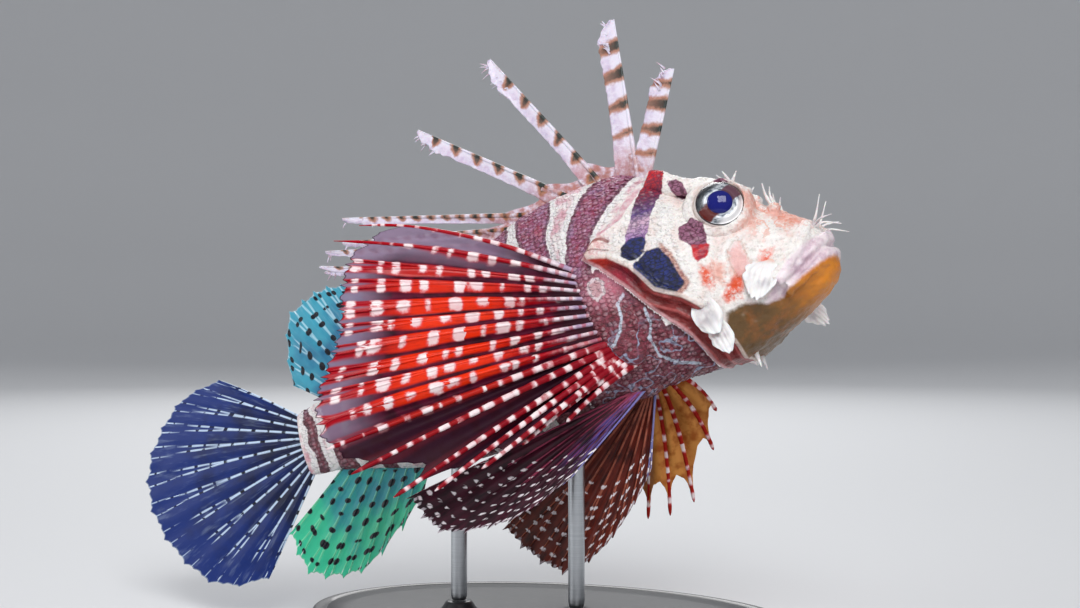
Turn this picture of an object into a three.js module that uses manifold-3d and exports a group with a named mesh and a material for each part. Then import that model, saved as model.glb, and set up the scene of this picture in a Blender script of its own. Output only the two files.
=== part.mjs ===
// A life-size zebra lionfish, hovering nose up, on a flat base with two rods.
// Millimetres, +Z up. The fish faces +X, its left is +Y, and the stand's underside is z = 0.
// The fish is drawn level in its own frame, then banked, pitched and lifted onto the stand.
import * as THREE from "three";
import { mergeVertices } from "three/addons/utils/BufferGeometryUtils.js";
import Module from "manifold-3d";

const wasm = await Module();
wasm.setup();

// Pose of the fish on its stand
const NOSE_UP_DEG = 20;
const BANK_DEG = 8;
const FISH_AT = [-2, 0, 82];

// Fit between touching pieces, the distance under which vertices are one, and the thinnest membrane
const GAP = 0.3;
const MERGE_DISTANCE = 1e-3;
const WEB = 0.6;

// Body outline from the tail stalk's end to the lips: level stations, back, belly and half width
const STATIONS = [-72, -64, -55, -40, -25, -8, 6, 18, 28, 36, 42, 48, 54, 60, 66, 70, 72.5];
const BACK = [-4.5, -3.2, 0, 6, 12.5, 19, 23, 23.6, 22.9, 19, 13.2, 9, 6.5, 3, -2.2, -5.6, -8.4];
const BELLY = [
  -21, -22, -24.5, -29, -31.4, -32, -31, -30, -29.8, -30.2, -30.6, -30.2, -28, -25.6, -22.8, -20.2, -16.5,
];
const HALF_WIDTH = [2.8, 3.6, 4.8, 6.8, 9, 11.6, 13.4, 15, 15.6, 15.4, 14.8, 13.4, 12, 10.6, 8.8, 6.6, 4];
const WIDEST_LEVEL = 0.45;
const FLANK_POWER = 0.88;
const BACK_TAPER = 0.26;
const SNOUT_X = 71.8;
const TAIL_END_X = -72;
const STALK_X = -50;
const [FAR_BEHIND, FAR_ABOVE, FAR_BELOW] = [-200, 50, -80];

// Gill cover: how far it stands out, the rear edge of the gill membrane, and the edge of the hard cover
const COVER_LIFT = 1.3;
const SNOUT_LIFT = 0.5;
const MEMBRANE_LIFT = 0.3;
const COVER_START_X = 14;
const MEMBRANE_EDGE = [
  [37, 40], [36.5, 19], [27, 9], [17.5, 2.6], [21, -1], [26, -8], [31, -15.5], [36.5, -23], [42, -40],
  [90, -40], [90, 40],
];
const COVER_EDGE = [
  [40, 40], [38, 18], [29, 8.5], [18.4, 2.2], [24, 0.4], [28.6, -4], [32.5, -11], [37.8, -14.6], [41, -18],
  [45, -27], [46, -40], [90, -40], [90, 40],
];

// Mouth: the line of the gape, seen from the side, closed below round the lower jaw, and the lips along it
const GAPE = [
  [82, -7.5], [73, -11.2], [66.5, -15.4], [60, -19.6], [53, -25], [48, -28.6], [45.5, -34], [84, -34],
];
const LIP_LINE = [[59.6, 10.2, -19], [65.2, 8.3, -15.6], [69.4, 5.2, -12.6]];
const LIP_MIDDLE = [71.4, 0, -11.2];
const LIP_R = 1.7;
const UPPER_LIP_RISE = 1.5;
const LOWER_LIP_RISE = -1.6;
const LOWER_LIP_FORWARD = 0.3;

// Eyes
const EYE_R = 6.3;
const EYE_AT = [51.2, 8.7, 3.7];
const EYE_AXIS = [0.16, 0.94, 0.3];
const LID_R = 1.25;
const LID_INSET = 0.2;
const LID_OUT = 1.5;

// Swellings and ridges of the head's left side: centres, lines, half sizes and radii
const ORBIT_AT = [50.8, 6.6, 2.9];
const ORBIT_HALF = [8.4, 6.6, 7.9];
const BROW_RIDGE = [[58.5, 4.6, 5.4], [52, 6.4, 9.6], [44, 7, 12.4], [37, 6.4, 17]];
const BROW_RIDGE_R = 1.7;
const CHEEK_RIDGE = [[69.6, 5.4, -7], [67.2, 7.8, -10.5], [62.6, 9.7, -15.5], [59, 10.6, -19.4]];
const CHEEK_RIDGE_R = [1.2, 2.4];
const NOSE_BUMP_AT = [62.4, 4.4, 0.2];
const NOSE_BUMP_HALF = [2.2, 1.8, 1.8];
const NOSTRIL_AT = [60.2, 5.4, 0.4];
const NOSTRIL_HALF = [0.9, 1.4, 0.8];

// Filaments of the left side: over the nostril, on the snout's tip, over the eye and under the chin
const THREAD_TAPER = 0.45;
const THREADS = [
  { radius: 0.7, points: [[62.4, 4.6, 0.8], [61.8, 5.4, 3.6], [62, 6, 6.5]] },
  { radius: 0.6, points: [[62.8, 4.6, 0.8], [62.8, 5.6, 3.2], [63.4, 6.4, 5]] },
  { radius: 0.7, points: [[68.4, 2.4, -7], [70.6, 3.2, -5], [73.4, 4.2, -0.4]] },
  { radius: 0.7, points: [[68.6, 2.6, -7.2], [71.4, 3.8, -5.8], [74.6, 5, -6]] },
  { radius: 0.6, points: [[68.6, 2.8, -7.4], [72, 4.6, -7], [76, 5.4, -9]] },
  { radius: 0.9, points: [[55.2, 8.2, 8.2], [55.2, 8.8, 9.9], [54.6, 9.3, 11.8]] },
  { radius: 0.8, points: [[55.4, 8.2, 8.2], [56.6, 8.8, 9.4], [57.8, 9.3, 10.6]] },
  { radius: 0.7, points: [[54.6, 8.2, 8.4], [53.9, 8.8, 10], [53, 9.3, 11.4]] },
  { radius: 0.8, points: [[47.6, 3, -29.6], [47.7, 3.1, -31.4], [47.9, 3.3, -33.6]] },
];

// Skin flaps: two lobes behind each cheek, and one at each corner of the mouth, swung apart in the pose.
// The lean is from straight ahead and the splay from the side plane, in degrees.
const COVER_FLAPS = [
  { root: [40.8, 13.8, -15.4], length: 10.5, width: 7, lean: -75, splay: 14 },
  { root: [42.6, 12.6, -21], length: 9.6, width: 5.6, lean: -79, splay: 16 },
];
const MOUTH_FLAP_RIGHT = { root: [58.5, 10.6, -11.8], length: 10.8, width: 8.2, lean: -121, splay: 22 };
const MOUTH_FLAP_LEFT = { root: [58.8, 11.8, -18.2], length: 10, width: 5.6, lean: -62, splay: 30 };
const FLAP_BOW = 0.8;
const FLAP_SCALLOP = 0.86;

// Fleshy base of the left pectoral fin, and the swelling that carries the pelvic fins
const FIN_BASE_AT = [19.6, 12.6, -11.8];
const FIN_BASE_HALF = [6.6, 4.6, 13.8];
const FIN_BASE_TURN_DEG = -15;
const GIRDLE_AT = [18.5, 0, -27.2];
const GIRDLE_HALF = [8, 6.4, 3.6];

// Stand
const BASE_LENGTH = 122;
const BASE_WIDTH = 80;
const BASE_HEIGHT = 6;
const BASE_EDGE = 1;
const ROD_R = 2;
const ROD_X = [0, -32];
const ROD_RUN_IN = 8;
const COLLAR_R = 4.5;
const COLLAR_TAPER = 1;
const COLLAR_HEIGHT = 2.5;
const COLLAR_SINK = 1;

// Colours seen in the photograph
const CREAM = 0xe9d8cf;
const MAROON = 0x8c2f37;
const RED = 0xc9261f;
const DARK_WINE = 0x3a1a2a;
const SLATE_BLUE = 0x24386b;
const SEA_GREEN = 0x3fa79a;
const INK = 0x10142e;
const BASE_BLACK = 0x1b1c1f;
const STEEL = 0xb9bdc2;

const lerp = (a, b, t) => a + (b - a) * t;
const clamp01 = (t) => Math.min(1, Math.max(0, t));
const radians = THREE.MathUtils.degToRad;

// A smooth curve through (key, value) pairs that never overshoots them.
function keyed(keys, values) {
  const last = keys.length - 1;
  const slopes = keys.slice(1).map((k, i) => (values[i + 1] - values[i]) / (k - keys[i]));
  const tangents = keys.map((_, i) => {
    if (i === 0) return slopes[0];
    if (i === last) return slopes[last - 1];
    const [before, after] = [slopes[i - 1], slopes[i]];
    return before * after <= 0 ? 0 : (2 * before * after) / (before + after);
  });
  return (key) => {
    const k = Math.min(keys[last], Math.max(keys[0], key));
    let i = 0;
    while (i < last - 1 && k > keys[i + 1]) i += 1;
    const span = keys[i + 1] - keys[i];
    const t = (k - keys[i]) / span;
    const [t2, t3] = [t * t, t * t * t];
    return (
      values[i] * (2 * t3 - 3 * t2 + 1) +
      tangents[i] * span * (t3 - 2 * t2 + t) +
      values[i + 1] * (3 * t2 - 2 * t3) +
      tangents[i + 1] * span * (t3 - t2)
    );
  };
}

const backAt = keyed(STATIONS, BACK);
const bellyAt = keyed(STATIONS, BELLY);
const widthAt = keyed(STATIONS, HALF_WIDTH);

// A closed three.js geometry as a solid.
function solidOf(geometry, tolerance = 1e-4) {
  const bare = new THREE.BufferGeometry().setAttribute("position", geometry.getAttribute("position"));
  if (geometry.index) bare.setIndex(geometry.index);
  const merged = mergeVertices(bare, tolerance);
  const triVerts = new Uint32Array(merged.index.array);
  const vertProperties = new Float32Array(merged.getAttribute("position").array);
  const solid = new wasm.Manifold(new wasm.Mesh({ numProp: 3, vertProperties, triVerts }));
  if (solid.volume() > 0) return solid;
  for (let i = 0; i < triVerts.length; i += 3) {
    [triVerts[i + 1], triVerts[i + 2]] = [triVerts[i + 2], triVerts[i + 1]];
  }
  return new wasm.Manifold(new wasm.Mesh({ numProp: 3, vertProperties, triVerts }));
}

// The largest closed surface of a solid, so that no scrap or sealed hollow stays.
function largest(solid) {
  const pieces = solid.decompose();
  return pieces.reduce((best, piece) => (piece.volume() > best.volume() ? piece : best));
}

const union = (solids) => solids.reduce((sum, solid) => sum.add(solid));

// A geometry from rows of points: each row is a closed ring, and the ends are closed by a middle point.
function loft(rings) {
  const sides = rings[0].length;
  const positions = rings.flat().flatMap((p) => [p.x, p.y, p.z]);
  const indices = [];
  for (let row = 0; row < rings.length - 1; row += 1) {
    for (let side = 0; side < sides; side += 1) {
      const next = (side + 1) % sides;
      const [a, b] = [row * sides + side, row * sides + next];
      indices.push(a, b, b + sides, a, b + sides, a + sides);
    }
  }
  const ends = [[rings[0], 0, true], [rings[rings.length - 1], (rings.length - 1) * sides, false]];
  for (const [ring, first, reversed] of ends) {
    const centre = ring.reduce((sum, p) => sum.add(p), new THREE.Vector3()).divideScalar(sides);
    const hub = positions.length / 3;
    positions.push(centre.x, centre.y, centre.z);
    for (let side = 0; side < sides; side += 1) {
      const [a, b] = [first + side, first + ((side + 1) % sides)];
      indices.push(...(reversed ? [hub, b, a] : [hub, a, b]));
    }
  }
  const geometry = new THREE.BufferGeometry();
  geometry.setAttribute("position", new THREE.Float32BufferAttribute(positions, 3));
  return geometry.setIndex(indices);
}

// A closed sheet between two like grids of points, with its triangles alike on both faces.
function sheet(front, rear) {
  const [rows, columns] = [front.length, front[0].length];
  const count = rows * columns;
  const positions = [...front.flat(), ...rear.flat()].flatMap((p) => [p.x, p.y, p.z]);
  const indices = [];
  const at = (row, column) => row * columns + column;
  for (let row = 0; row < rows - 1; row += 1) {
    for (let column = 0; column < columns - 1; column += 1) {
      const [a, b] = [at(row, column), at(row, column + 1)];
      const [c, d] = [at(row + 1, column + 1), at(row + 1, column)];
      indices.push(a, b, c, a, c, d);
      indices.push(a + count, c + count, b + count, a + count, d + count, c + count);
    }
  }
  const rim = [];
  for (let column = 0; column < columns - 1; column += 1) rim.push(at(0, column));
  for (let row = 0; row < rows - 1; row += 1) rim.push(at(row, columns - 1));
  for (let column = columns - 1; column > 0; column -= 1) rim.push(at(rows - 1, column));
  for (let row = rows - 1; row > 0; row -= 1) rim.push(at(row, 0));
  rim.forEach((a, i) => {
    const b = rim[(i + 1) % rim.length];
    indices.push(a, a + count, b, b, a + count, b + count);
  });
  const geometry = new THREE.BufferGeometry();
  geometry.setAttribute("position", new THREE.Float32BufferAttribute(positions, 3));
  return geometry.setIndex(indices);
}

// A tapered tube along a curve, with its radius given from root to tip.
function tube(points, radiusAt, steps, sides) {
  const curve = new THREE.CatmullRomCurve3(points.map((p) => new THREE.Vector3(...p)));
  const frames = curve.computeFrenetFrames(steps, false);
  const rings = [];
  for (let step = 0; step <= steps; step += 1) {
    const centre = curve.getPoint(step / steps);
    const radius = radiusAt(step / steps);
    const ring = [];
    for (let side = 0; side < sides; side += 1) {
      const angle = (side / sides) * 2 * Math.PI;
      ring.push(
        centre
          .clone()
          .addScaledVector(frames.normals[step], radius * Math.cos(angle))
          .addScaledVector(frames.binormals[step], radius * Math.sin(angle)),
      );
    }
    rings.push(ring);
  }
  return solidOf(loft(rings));
}

// An egg-shaped lump with its three half sizes, turned about Y and set at a point.
function lump([x, y, z], [rx, ry, rz], turnDeg = 0, detail = 12) {
  const geometry = new THREE.SphereGeometry(1, detail, Math.round(detail * 0.6));
  geometry.scale(rx, ry, rz).rotateY(radians(turnDeg)).translate(x, y, z);
  return solidOf(geometry);
}

// A side-view outline moved outwards by a distance.
function offsetOutline(outline, distance) {
  const count = outline.length;
  const area = outline.reduce((sum, [x, z], i) => {
    const [nx, nz] = outline[(i + 1) % count];
    return sum + x * nz - nx * z;
  }, 0);
  return outline.map(([x, z], i) => {
    const [px, pz] = outline[(i + count - 1) % count];
    const [nx, nz] = outline[(i + 1) % count];
    const before = new THREE.Vector2(z - pz, px - x).normalize();
    const after = new THREE.Vector2(nz - z, x - nx).normalize();
    const mitre = before.clone().add(after).normalize();
    const reach = (distance * Math.sign(area)) / Math.max(0.5, mitre.dot(after));
    return [x + mitre.x * reach, z + mitre.y * reach];
  });
}

// Everything inside a side-view outline, across the whole width of the fish.
function sideRegion(outline, reach = 60) {
  const shape = new THREE.Shape(outline.map(([x, z]) => new THREE.Vector2(x, z)));
  const geometry = new THREE.ExtrudeGeometry(shape, { depth: 2 * reach, bevelEnabled: false });
  geometry.translate(0, 0, -reach).rotateX(Math.PI / 2);
  return solidOf(geometry);
}

// A point of the body's surface at a station, at an angle from the left side up, moved out by grow.
function bodyPoint(x, angle, growSide, growUp) {
  const [back, belly] = [backAt(x) + growUp, bellyAt(x) - growUp];
  const middle = lerp(bellyAt(x), backAt(x), WIDEST_LEVEL);
  const [side, up] = [Math.cos(angle), Math.sin(angle)];
  const flatten = Math.sign(side) * Math.abs(side) ** FLANK_POWER;
  const taper = 1 - BACK_TAPER * Math.max(0, up) ** 2;
  const half = (widthAt(x) + growSide) * taper;
  return new THREE.Vector3(x, half * flatten, middle + up * (up > 0 ? back - middle : middle - belly));
}

// The body between two stations as a closed solid.
function bodyLoft(fromX, toX, stations, sides, growSide, growUp = 0) {
  const rings = [];
  for (let i = 0; i <= stations; i += 1) {
    const x = lerp(fromX, toX, i / stations);
    const ring = [];
    for (let side = 0; side < sides; side += 1) {
      const angle = (side / sides) * 2 * Math.PI;
      ring.push(bodyPoint(x, angle, typeof growSide === "function" ? growSide(x) : growSide, growUp));
    }
    rings.push(ring);
  }
  return solidOf(loft(rings));
}

// Fin rays as continuous functions of t, from the first ray to the last.
class FinFan {
  // root: curves for x, y, z; pitch and flare in degrees; length and bend in mm; notch as a share of length
  constructor({ bendBack = () => 0, side = 1, ...shape }) {
    Object.assign(this, { bendBack, side, ...shape });
  }

  // The point at a share u of the ray at t.
  point(t, u) {
    const [pitch, flare, length] = [radians(this.pitch(t)), radians(this.flare(t)), this.length(t)];
    const run = length * u;
    const bend = u * u;
    return new THREE.Vector3(
      this.rootX(t) - run * Math.cos(pitch) * Math.cos(flare) - this.bendBack(t) * bend,
      this.side * (this.rootY(t) + run * Math.sin(flare) + this.bendOut(t) * bend),
      this.rootZ(t) + run * Math.sin(pitch) * Math.cos(flare) + this.bendUp(t) * bend,
    );
  }

  // The sheet's normal there.
  normal(t, u) {
    const step = 0.004;
    const across = this.point(Math.min(1, t + step), u).sub(this.point(Math.max(0, t - step), u));
    const along = this.point(t, u + step).sub(this.point(t, u - step));
    return across.cross(along).normalize();
  }

  // Ridge thickness falls from root to tip; the membrane between the rays is thin and notched at its edge.
  solid({ rows, crestRoot, crestTip, footRoot = 0.26, footTip = 0.1, webs = [0.5], start = -0.06 }) {
    const columns = [];
    for (let ray = 0; ray < this.count; ray += 1) {
      columns.push({ ray, foot: -1 }, { ray, foot: 0 }, { ray, foot: 1 });
      if (ray < this.count - 1) webs.forEach((web) => columns.push({ ray, web }));
    }
    const front = [];
    const rear = [];
    for (let row = 0; row <= rows; row += 1) {
      const share = row / rows;
      const foot = lerp(footRoot, footTip, share);
      const [frontRow, rearRow] = [[], []];
      for (const column of columns) {
        const isWeb = column.web !== undefined;
        const place = column.ray + (isWeb ? column.web : column.foot * foot);
        const t = place / (this.count - 1);
        const hollow = isWeb ? 1 - Math.abs(2 * column.web - 1) ** 3 : 0.04 * Math.abs(column.foot);
        const reach = isWeb ? 1 - this.notch(clamp01(t)) * hollow : 1 - hollow;
        const u = lerp(start, reach, share);
        const isCrest = column.foot === 0;
        const half = (isCrest ? lerp(crestRoot, crestTip, share) : WEB) / 2;
        const centre = this.point(t, u);
        const normal = this.normal(t, u);
        frontRow.push(centre.clone().addScaledVector(normal, half));
        rearRow.push(centre.clone().addScaledVector(normal, -half));
      }
      front.push(frontRow);
      rear.push(rearRow);
    }
    return solidOf(sheet(front, rear));
  }
}

const flat = (value) => () => value;

// Pectoral fins: seventeen rays from the top of the fleshy base, round it, to its lower front corner.
const PECTORAL_ROOT = {
  count: 17,
  rootX: keyed([0, 0.3, 0.55, 0.8, 1], [14.4, 16.4, 16.4, 18.4, 22.2]),
  rootY: keyed([0, 0.3, 0.6, 0.8, 1], [13.6, 15.6, 15.6, 14.2, 11.6]),
  rootZ: keyed([0, 0.3, 0.6, 0.8, 1], [1.2, -8.5, -18, -22, -24.2]),
};
const pectoralRight = new FinFan({
  ...PECTORAL_ROOT,
  side: -1,
  pitch: keyed([0, 0.25, 0.5, 0.65, 0.8, 1], [40, 17, 1, -9, -24, -20]),
  flare: keyed([0, 0.25, 0.6, 0.8, 1], [18, 26, 34, 34, 24]),
  length: keyed([0, 0.1, 0.3, 0.56, 0.66, 0.78, 0.88, 1], [51, 58, 59, 68, 66, 56, 40, 20]),
  bendUp: keyed([0, 0.25, 0.5, 1], [-8, -3, -1.5, -3]),
  bendOut: keyed([0, 0.5, 1], [-3, 1, 2]),
  notch: keyed([0, 0.1, 0.2, 0.62, 0.74, 1], [0.24, 0.14, 0.09, 0.08, 0.34, 0.42]),
});
const pectoralLeft = new FinFan({
  ...PECTORAL_ROOT,
  pitch: keyed([0, 0.25, 0.5, 0.66, 0.78, 0.86, 0.93, 1], [32, 14, -12, -46, -75, -87, -115, -150]),
  flare: keyed([0, 0.3, 0.55, 0.7, 0.78, 0.86, 0.93, 1], [30, 40, 42, 30, 24, 27, 36, 43]),
  length: keyed([0, 0.3, 0.5, 0.66, 0.78, 0.86, 0.93, 1], [47, 57, 58, 44, 33, 32, 23, 18]),
  bendUp: keyed([0, 0.66, 0.78, 1], [-3, -4, -5, -5]),
  bendOut: keyed([0, 0.5, 1], [0, 1, 0]),
  bendBack: keyed([0, 0.66, 0.78, 1], [0, 1, 5, 5]),
  notch: keyed([0, 0.1, 0.2, 0.62, 0.74, 1], [0.24, 0.14, 0.09, 0.08, 0.34, 0.42]),
});

// Pelvic fins: a short spine in front and the split ends of the soft rays behind it.
const PELVIC_ROOT = {
  count: 8,
  rootX: keyed([0, 1], [20.6, 15.4]),
  rootY: keyed([0, 1], [3.6, 5.4]),
  rootZ: keyed([0, 1], [-29.2, -29.6]),
  bendUp: flat(0),
  notch: flat(0.05),
};
const pelvicRight = new FinFan({
  ...PELVIC_ROOT,
  side: -1,
  pitch: keyed([0, 0.25, 0.5, 0.75, 1], [-36, -31, -26, -19, -9]),
  flare: keyed([0, 0.5, 1], [18, 18, 20]),
  length: keyed([0, 0.25, 0.5, 0.75, 1], [29, 43, 50, 57, 58]),
  bendOut: keyed([0, 1], [1, -3]),
});
const pelvicLeft = new FinFan({
  ...PELVIC_ROOT,
  pitch: keyed([0, 0.25, 0.5, 0.75, 1], [-64, -54, -45, -33, -20]),
  flare: keyed([0, 0.5, 1], [12, 14, 18]),
  length: keyed([0, 0.15, 0.35, 0.6, 1], [20, 29, 42, 53, 55]),
  bendOut: keyed([0, 1], [1, -2]),
});

// Median fins: rays along the back or belly, or round the end of the tail stalk.
const caudal = new FinFan({
  count: 12,
  rootX: keyed([0, 0.5, 1], [-70.5, -72, -70.5]),
  rootY: flat(0),
  rootZ: keyed([0, 1], [-6, -19.8]),
  pitch: keyed([0, 0.5, 1], [43, 3, -48]),
  flare: flat(0),
  length: keyed([0, 0.2, 0.5, 0.8, 1], [31, 43.5, 52, 46, 33]),
  bendUp: keyed([0, 0.5, 1], [-2.5, 0, 2]),
  bendOut: keyed([0, 0.5, 1], [2, 3.5, 2]),
  notch: flat(0.05),
});
const anal = new FinFan({
  count: 9,
  rootX: keyed([0, 1], [-40, -63]),
  rootY: flat(0),
  rootZ: keyed([0, 0.5, 1], [-28.6, -25.4, -21.8]),
  pitch: keyed([0, 0.3, 0.7, 1], [-62, -56, -46, -33]),
  flare: flat(0),
  length: keyed([0, 0.15, 0.4, 0.7, 1], [9, 18, 28.5, 31, 22]),
  bendUp: flat(0),
  bendOut: keyed([0, 1], [-0.5, -2.5]),
  notch: keyed([0, 0.2, 0.4, 1], [0.25, 0.16, 0.05, 0.05]),
});
const softDorsal = new FinFan({
  count: 9,
  rootX: keyed([0, 1], [-40.5, -63]),
  rootY: flat(0),
  rootZ: keyed([0, 0.5, 1], [5.4, 1.4, -3.4]),
  pitch: keyed([0, 0.5, 0.8, 1], [72, 65, 54, 42]),
  flare: flat(0),
  length: keyed([0, 0.35, 0.6, 0.85, 1], [20, 26, 27, 19, 12]),
  bendUp: flat(-1),
  bendOut: keyed([0, 1], [0.5, 1.5]),
  notch: flat(0.06),
});

// Dorsal spines: where each leaves the back, its angle from straight ahead, its length and its blade's width
const SPINE_X = [35.4, 33.2, 24, 14.4, 3.4, -2.5, -8, -13, -18, -22.5, -26.8, -31, -35.2];
const SPINE_ANGLE = [58.5, 81.4, 113, 135.8, 159.8, 162, 162, 163, 158, 151, 143, 132, 116];
const SPINE_LENGTH = [28, 41.8, 44.4, 46.3, 51.3, 48.7, 45.2, 45, 38, 31, 25, 20, 19];
const SPINE_SWAY = [0, 1.5, -2, 2, -1, 4, -3, 4.5, -3.5, 3, -2, 1.5, 0];
const BLADE_WIDTH = [5, 5.2, 3.6, 3.4, 2.8, 2.6, 2.4, 2.2, 2, 1.8, 1.7, 1.6, 1.6];
const BLADE_SHAPE = keyed([0, 0.12, 0.4, 0.74, 0.86, 0.94, 1], [1.4, 1.1, 0.95, 1, 1.3, 1, 0.25]);
const SPINE_THICK = 1.3;
const SPINE_TIP_THICK = 0.5;
const SPINE_HALF_DEPTH = 0.3;
const SPINE_SINK = 2.5;
const BLADE_STEPS = 5;
const BLADE_NICK = 0.75;
const NICKED_FROM = 0.6;

// Low membrane between the spines: its height at a spine and between two, its rear share, and its half width
const WEB_AT_SPINE = 6.5;
const WEB_BETWEEN = 3.2;
const WEB_REAR_SHARE = 0.8;
const WEB_REAR_X = -22;
const WEB_HALF = 0.4;

// One spine with the ragged membrane that trails from it.
function spineBlade(index) {
  const angle = radians(SPINE_ANGLE[index]);
  const length = SPINE_LENGTH[index];
  const direction = new THREE.Vector3(Math.cos(angle), 0, Math.sin(angle));
  const trailing = new THREE.Vector3(-Math.sin(angle), 0, Math.cos(angle));
  const x = SPINE_X[index];
  const root = new THREE.Vector3(x, 0, backAt(x)).addScaledVector(direction, -SPINE_SINK);
  const [front, rear] = [[], []];
  for (let step = 0; step <= BLADE_STEPS; step += 1) {
    const u = step / BLADE_STEPS;
    const bow = Math.sin(u * Math.PI * 0.5);
    const spine = root.clone().addScaledVector(direction, (length + SPINE_SINK) * u);
    spine.y += SPINE_SWAY[index] * bow * u;
    const width = BLADE_WIDTH[index] * BLADE_SHAPE(u) * (step % 2 && u > NICKED_FROM ? BLADE_NICK : 1);
    const thick = lerp(SPINE_THICK, SPINE_TIP_THICK, u) / 2;
    const section = [[-SPINE_HALF_DEPTH, WEB / 2], [SPINE_HALF_DEPTH, thick], [width, WEB / 2]];
    const rowFront = [];
    const rowRear = [];
    for (const [reach, half] of section) {
      const point = spine.clone().addScaledVector(trailing, reach);
      rowFront.push(point.clone().setY(point.y + half));
      rowRear.push(point.clone().setY(point.y - half));
    }
    front.push(rowFront);
    rear.push(rowRear);
  }
  return solidOf(sheet(front, rear));
}

// The low membrane that joins a run of spines along the back.
function backWeb(first, last) {
  const [front, rear] = [[], []];
  const columns = (last - first) * 2;
  for (const level of [0, 0.5, 1]) {
    const [rowFront, rowRear] = [[], []];
    for (let column = 0; column <= columns; column += 1) {
      const place = first + column / 2;
      const [low, high] = [Math.floor(place), Math.ceil(place)];
      const x = (SPINE_X[low] + SPINE_X[high]) / 2;
      const angle = radians((SPINE_ANGLE[low] + SPINE_ANGLE[high]) / 2);
      const height = (low === high ? WEB_AT_SPINE : WEB_BETWEEN) * (x < WEB_REAR_X ? WEB_REAR_SHARE : 1);
      const rise = lerp(-SPINE_SINK, height, level);
      const point = new THREE.Vector3(x + Math.cos(angle) * rise, 0, backAt(x) + Math.sin(angle) * rise);
      rowFront.push(point.clone().setY(WEB_HALF));
      rowRear.push(point.clone().setY(-WEB_HALF));
    }
    front.push(rowFront);
    rear.push(rowRear);
  }
  return solidOf(sheet(front, rear));
}

// Fleshy base of each pectoral fin, and the pelvic girdle's swelling.
function finBases(grow) {
  const [x, y, z] = FIN_BASE_AT;
  const grown = (sizes) => sizes.map((size) => size + grow);
  const bases = [-1, 1].map((side) => lump([x, side * y, z], grown(FIN_BASE_HALF), FIN_BASE_TURN_DEG, 12));
  bases.push(lump(GIRDLE_AT, grown(GIRDLE_HALF), 0, 10));
  return union(bases);
}

// A thin skin flap: a side-view outline with a scalloped edge, bent outwards from the head.
function skinFlap(side, { root, length, width, lean, splay }) {
  const steps = 4;
  const [front, rear] = [[], []];
  const [angle, out] = [radians(lean), radians(splay)];
  const down = new THREE.Vector3(
    Math.cos(angle) * Math.cos(out),
    side * Math.sin(out),
    Math.sin(angle) * Math.cos(out),
  );
  const across = new THREE.Vector3(-Math.sin(angle), 0, Math.cos(angle));
  const normal = down.clone().cross(across).normalize();
  const widthAlong = keyed([0, 0.2, 0.55, 0.85, 1], [0.5, 0.75, 1, 0.85, 0.4]);
  for (let step = 0; step <= steps; step += 1) {
    const u = step / steps;
    const middle = new THREE.Vector3(root[0], side * root[1], root[2]).addScaledVector(down, length * u);
    middle.addScaledVector(normal, Math.sin(u * Math.PI) * FLAP_BOW);
    const half = (width / 2) * widthAlong(u) * (step % 2 ? FLAP_SCALLOP : 1);
    const [rowFront, rowRear] = [[], []];
    for (const share of [-1, 0, 1]) {
      const point = middle.clone().addScaledVector(across, half * share);
      rowFront.push(point.clone().addScaledVector(normal, WEB / 2));
      rowRear.push(point.clone().addScaledVector(normal, -WEB / 2));
    }
    front.push(rowFront);
    rear.push(rowRear);
  }
  return solidOf(sheet(front, rear));
}

// A thin tapered filament from the skin to its tip.
const filament = (points, radius) => tube(points, (u) => radius * lerp(1, THREAD_TAPER, u), 3, 4);

// Ridges, lids, flaps and filaments of one side of the head.
function headFeatures(side) {
  const at = ([x, y, z]) => [x, side * y, z];
  const eyeAxis = new THREE.Vector3(...at(EYE_AXIS)).normalize();
  const lidGeometry = new THREE.TorusGeometry(EYE_R - LID_INSET, LID_R, 5, 16);
  const turn = new THREE.Quaternion().setFromUnitVectors(new THREE.Vector3(0, 0, 1), eyeAxis);
  const lidAt = new THREE.Vector3(...at(EYE_AT)).addScaledVector(eyeAxis, LID_OUT);
  lidGeometry.applyQuaternion(turn).translate(lidAt.x, lidAt.y, lidAt.z);
  return [
    lump(at(ORBIT_AT), ORBIT_HALF, 0, 12),
    solidOf(lidGeometry),
    tube(BROW_RIDGE.map(at), flat(BROW_RIDGE_R), 5, 6),
    tube(CHEEK_RIDGE.map(at), (u) => lerp(...CHEEK_RIDGE_R, u), 5, 7),
    lump(at(NOSE_BUMP_AT), NOSE_BUMP_HALF, 0, 8),
    ...THREADS.map(({ points, radius }) => filament(points.map(at), radius)),
    skinFlap(side, side < 0 ? MOUTH_FLAP_RIGHT : MOUTH_FLAP_LEFT),
    ...COVER_FLAPS.map((flap) => skinFlap(side, flap)),
  ];
}

function nostril(side) {
  const [x, y, z] = NOSTRIL_AT;
  return lump([x, side * y, z], NOSTRIL_HALF, 0, 8);
}

// Rolled lip along the gape, above or below the line where the jaws meet, and thinnest at the corners.
function lip(rise, forward) {
  const half = LIP_LINE.map(([x, y, z], i) => [i === LIP_LINE.length - 1 ? x + forward : x, y, z + rise]);
  const right = half.map(([x, y, z]) => [x, -y, z]);
  const [x, y, z] = LIP_MIDDLE;
  const points = [...right, [x + forward, y, z + rise], ...half.reverse()];
  return tube(points, (u) => LIP_R * lerp(0.7, 1, Math.sin(Math.PI * u)), 12, 6);
}

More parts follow.
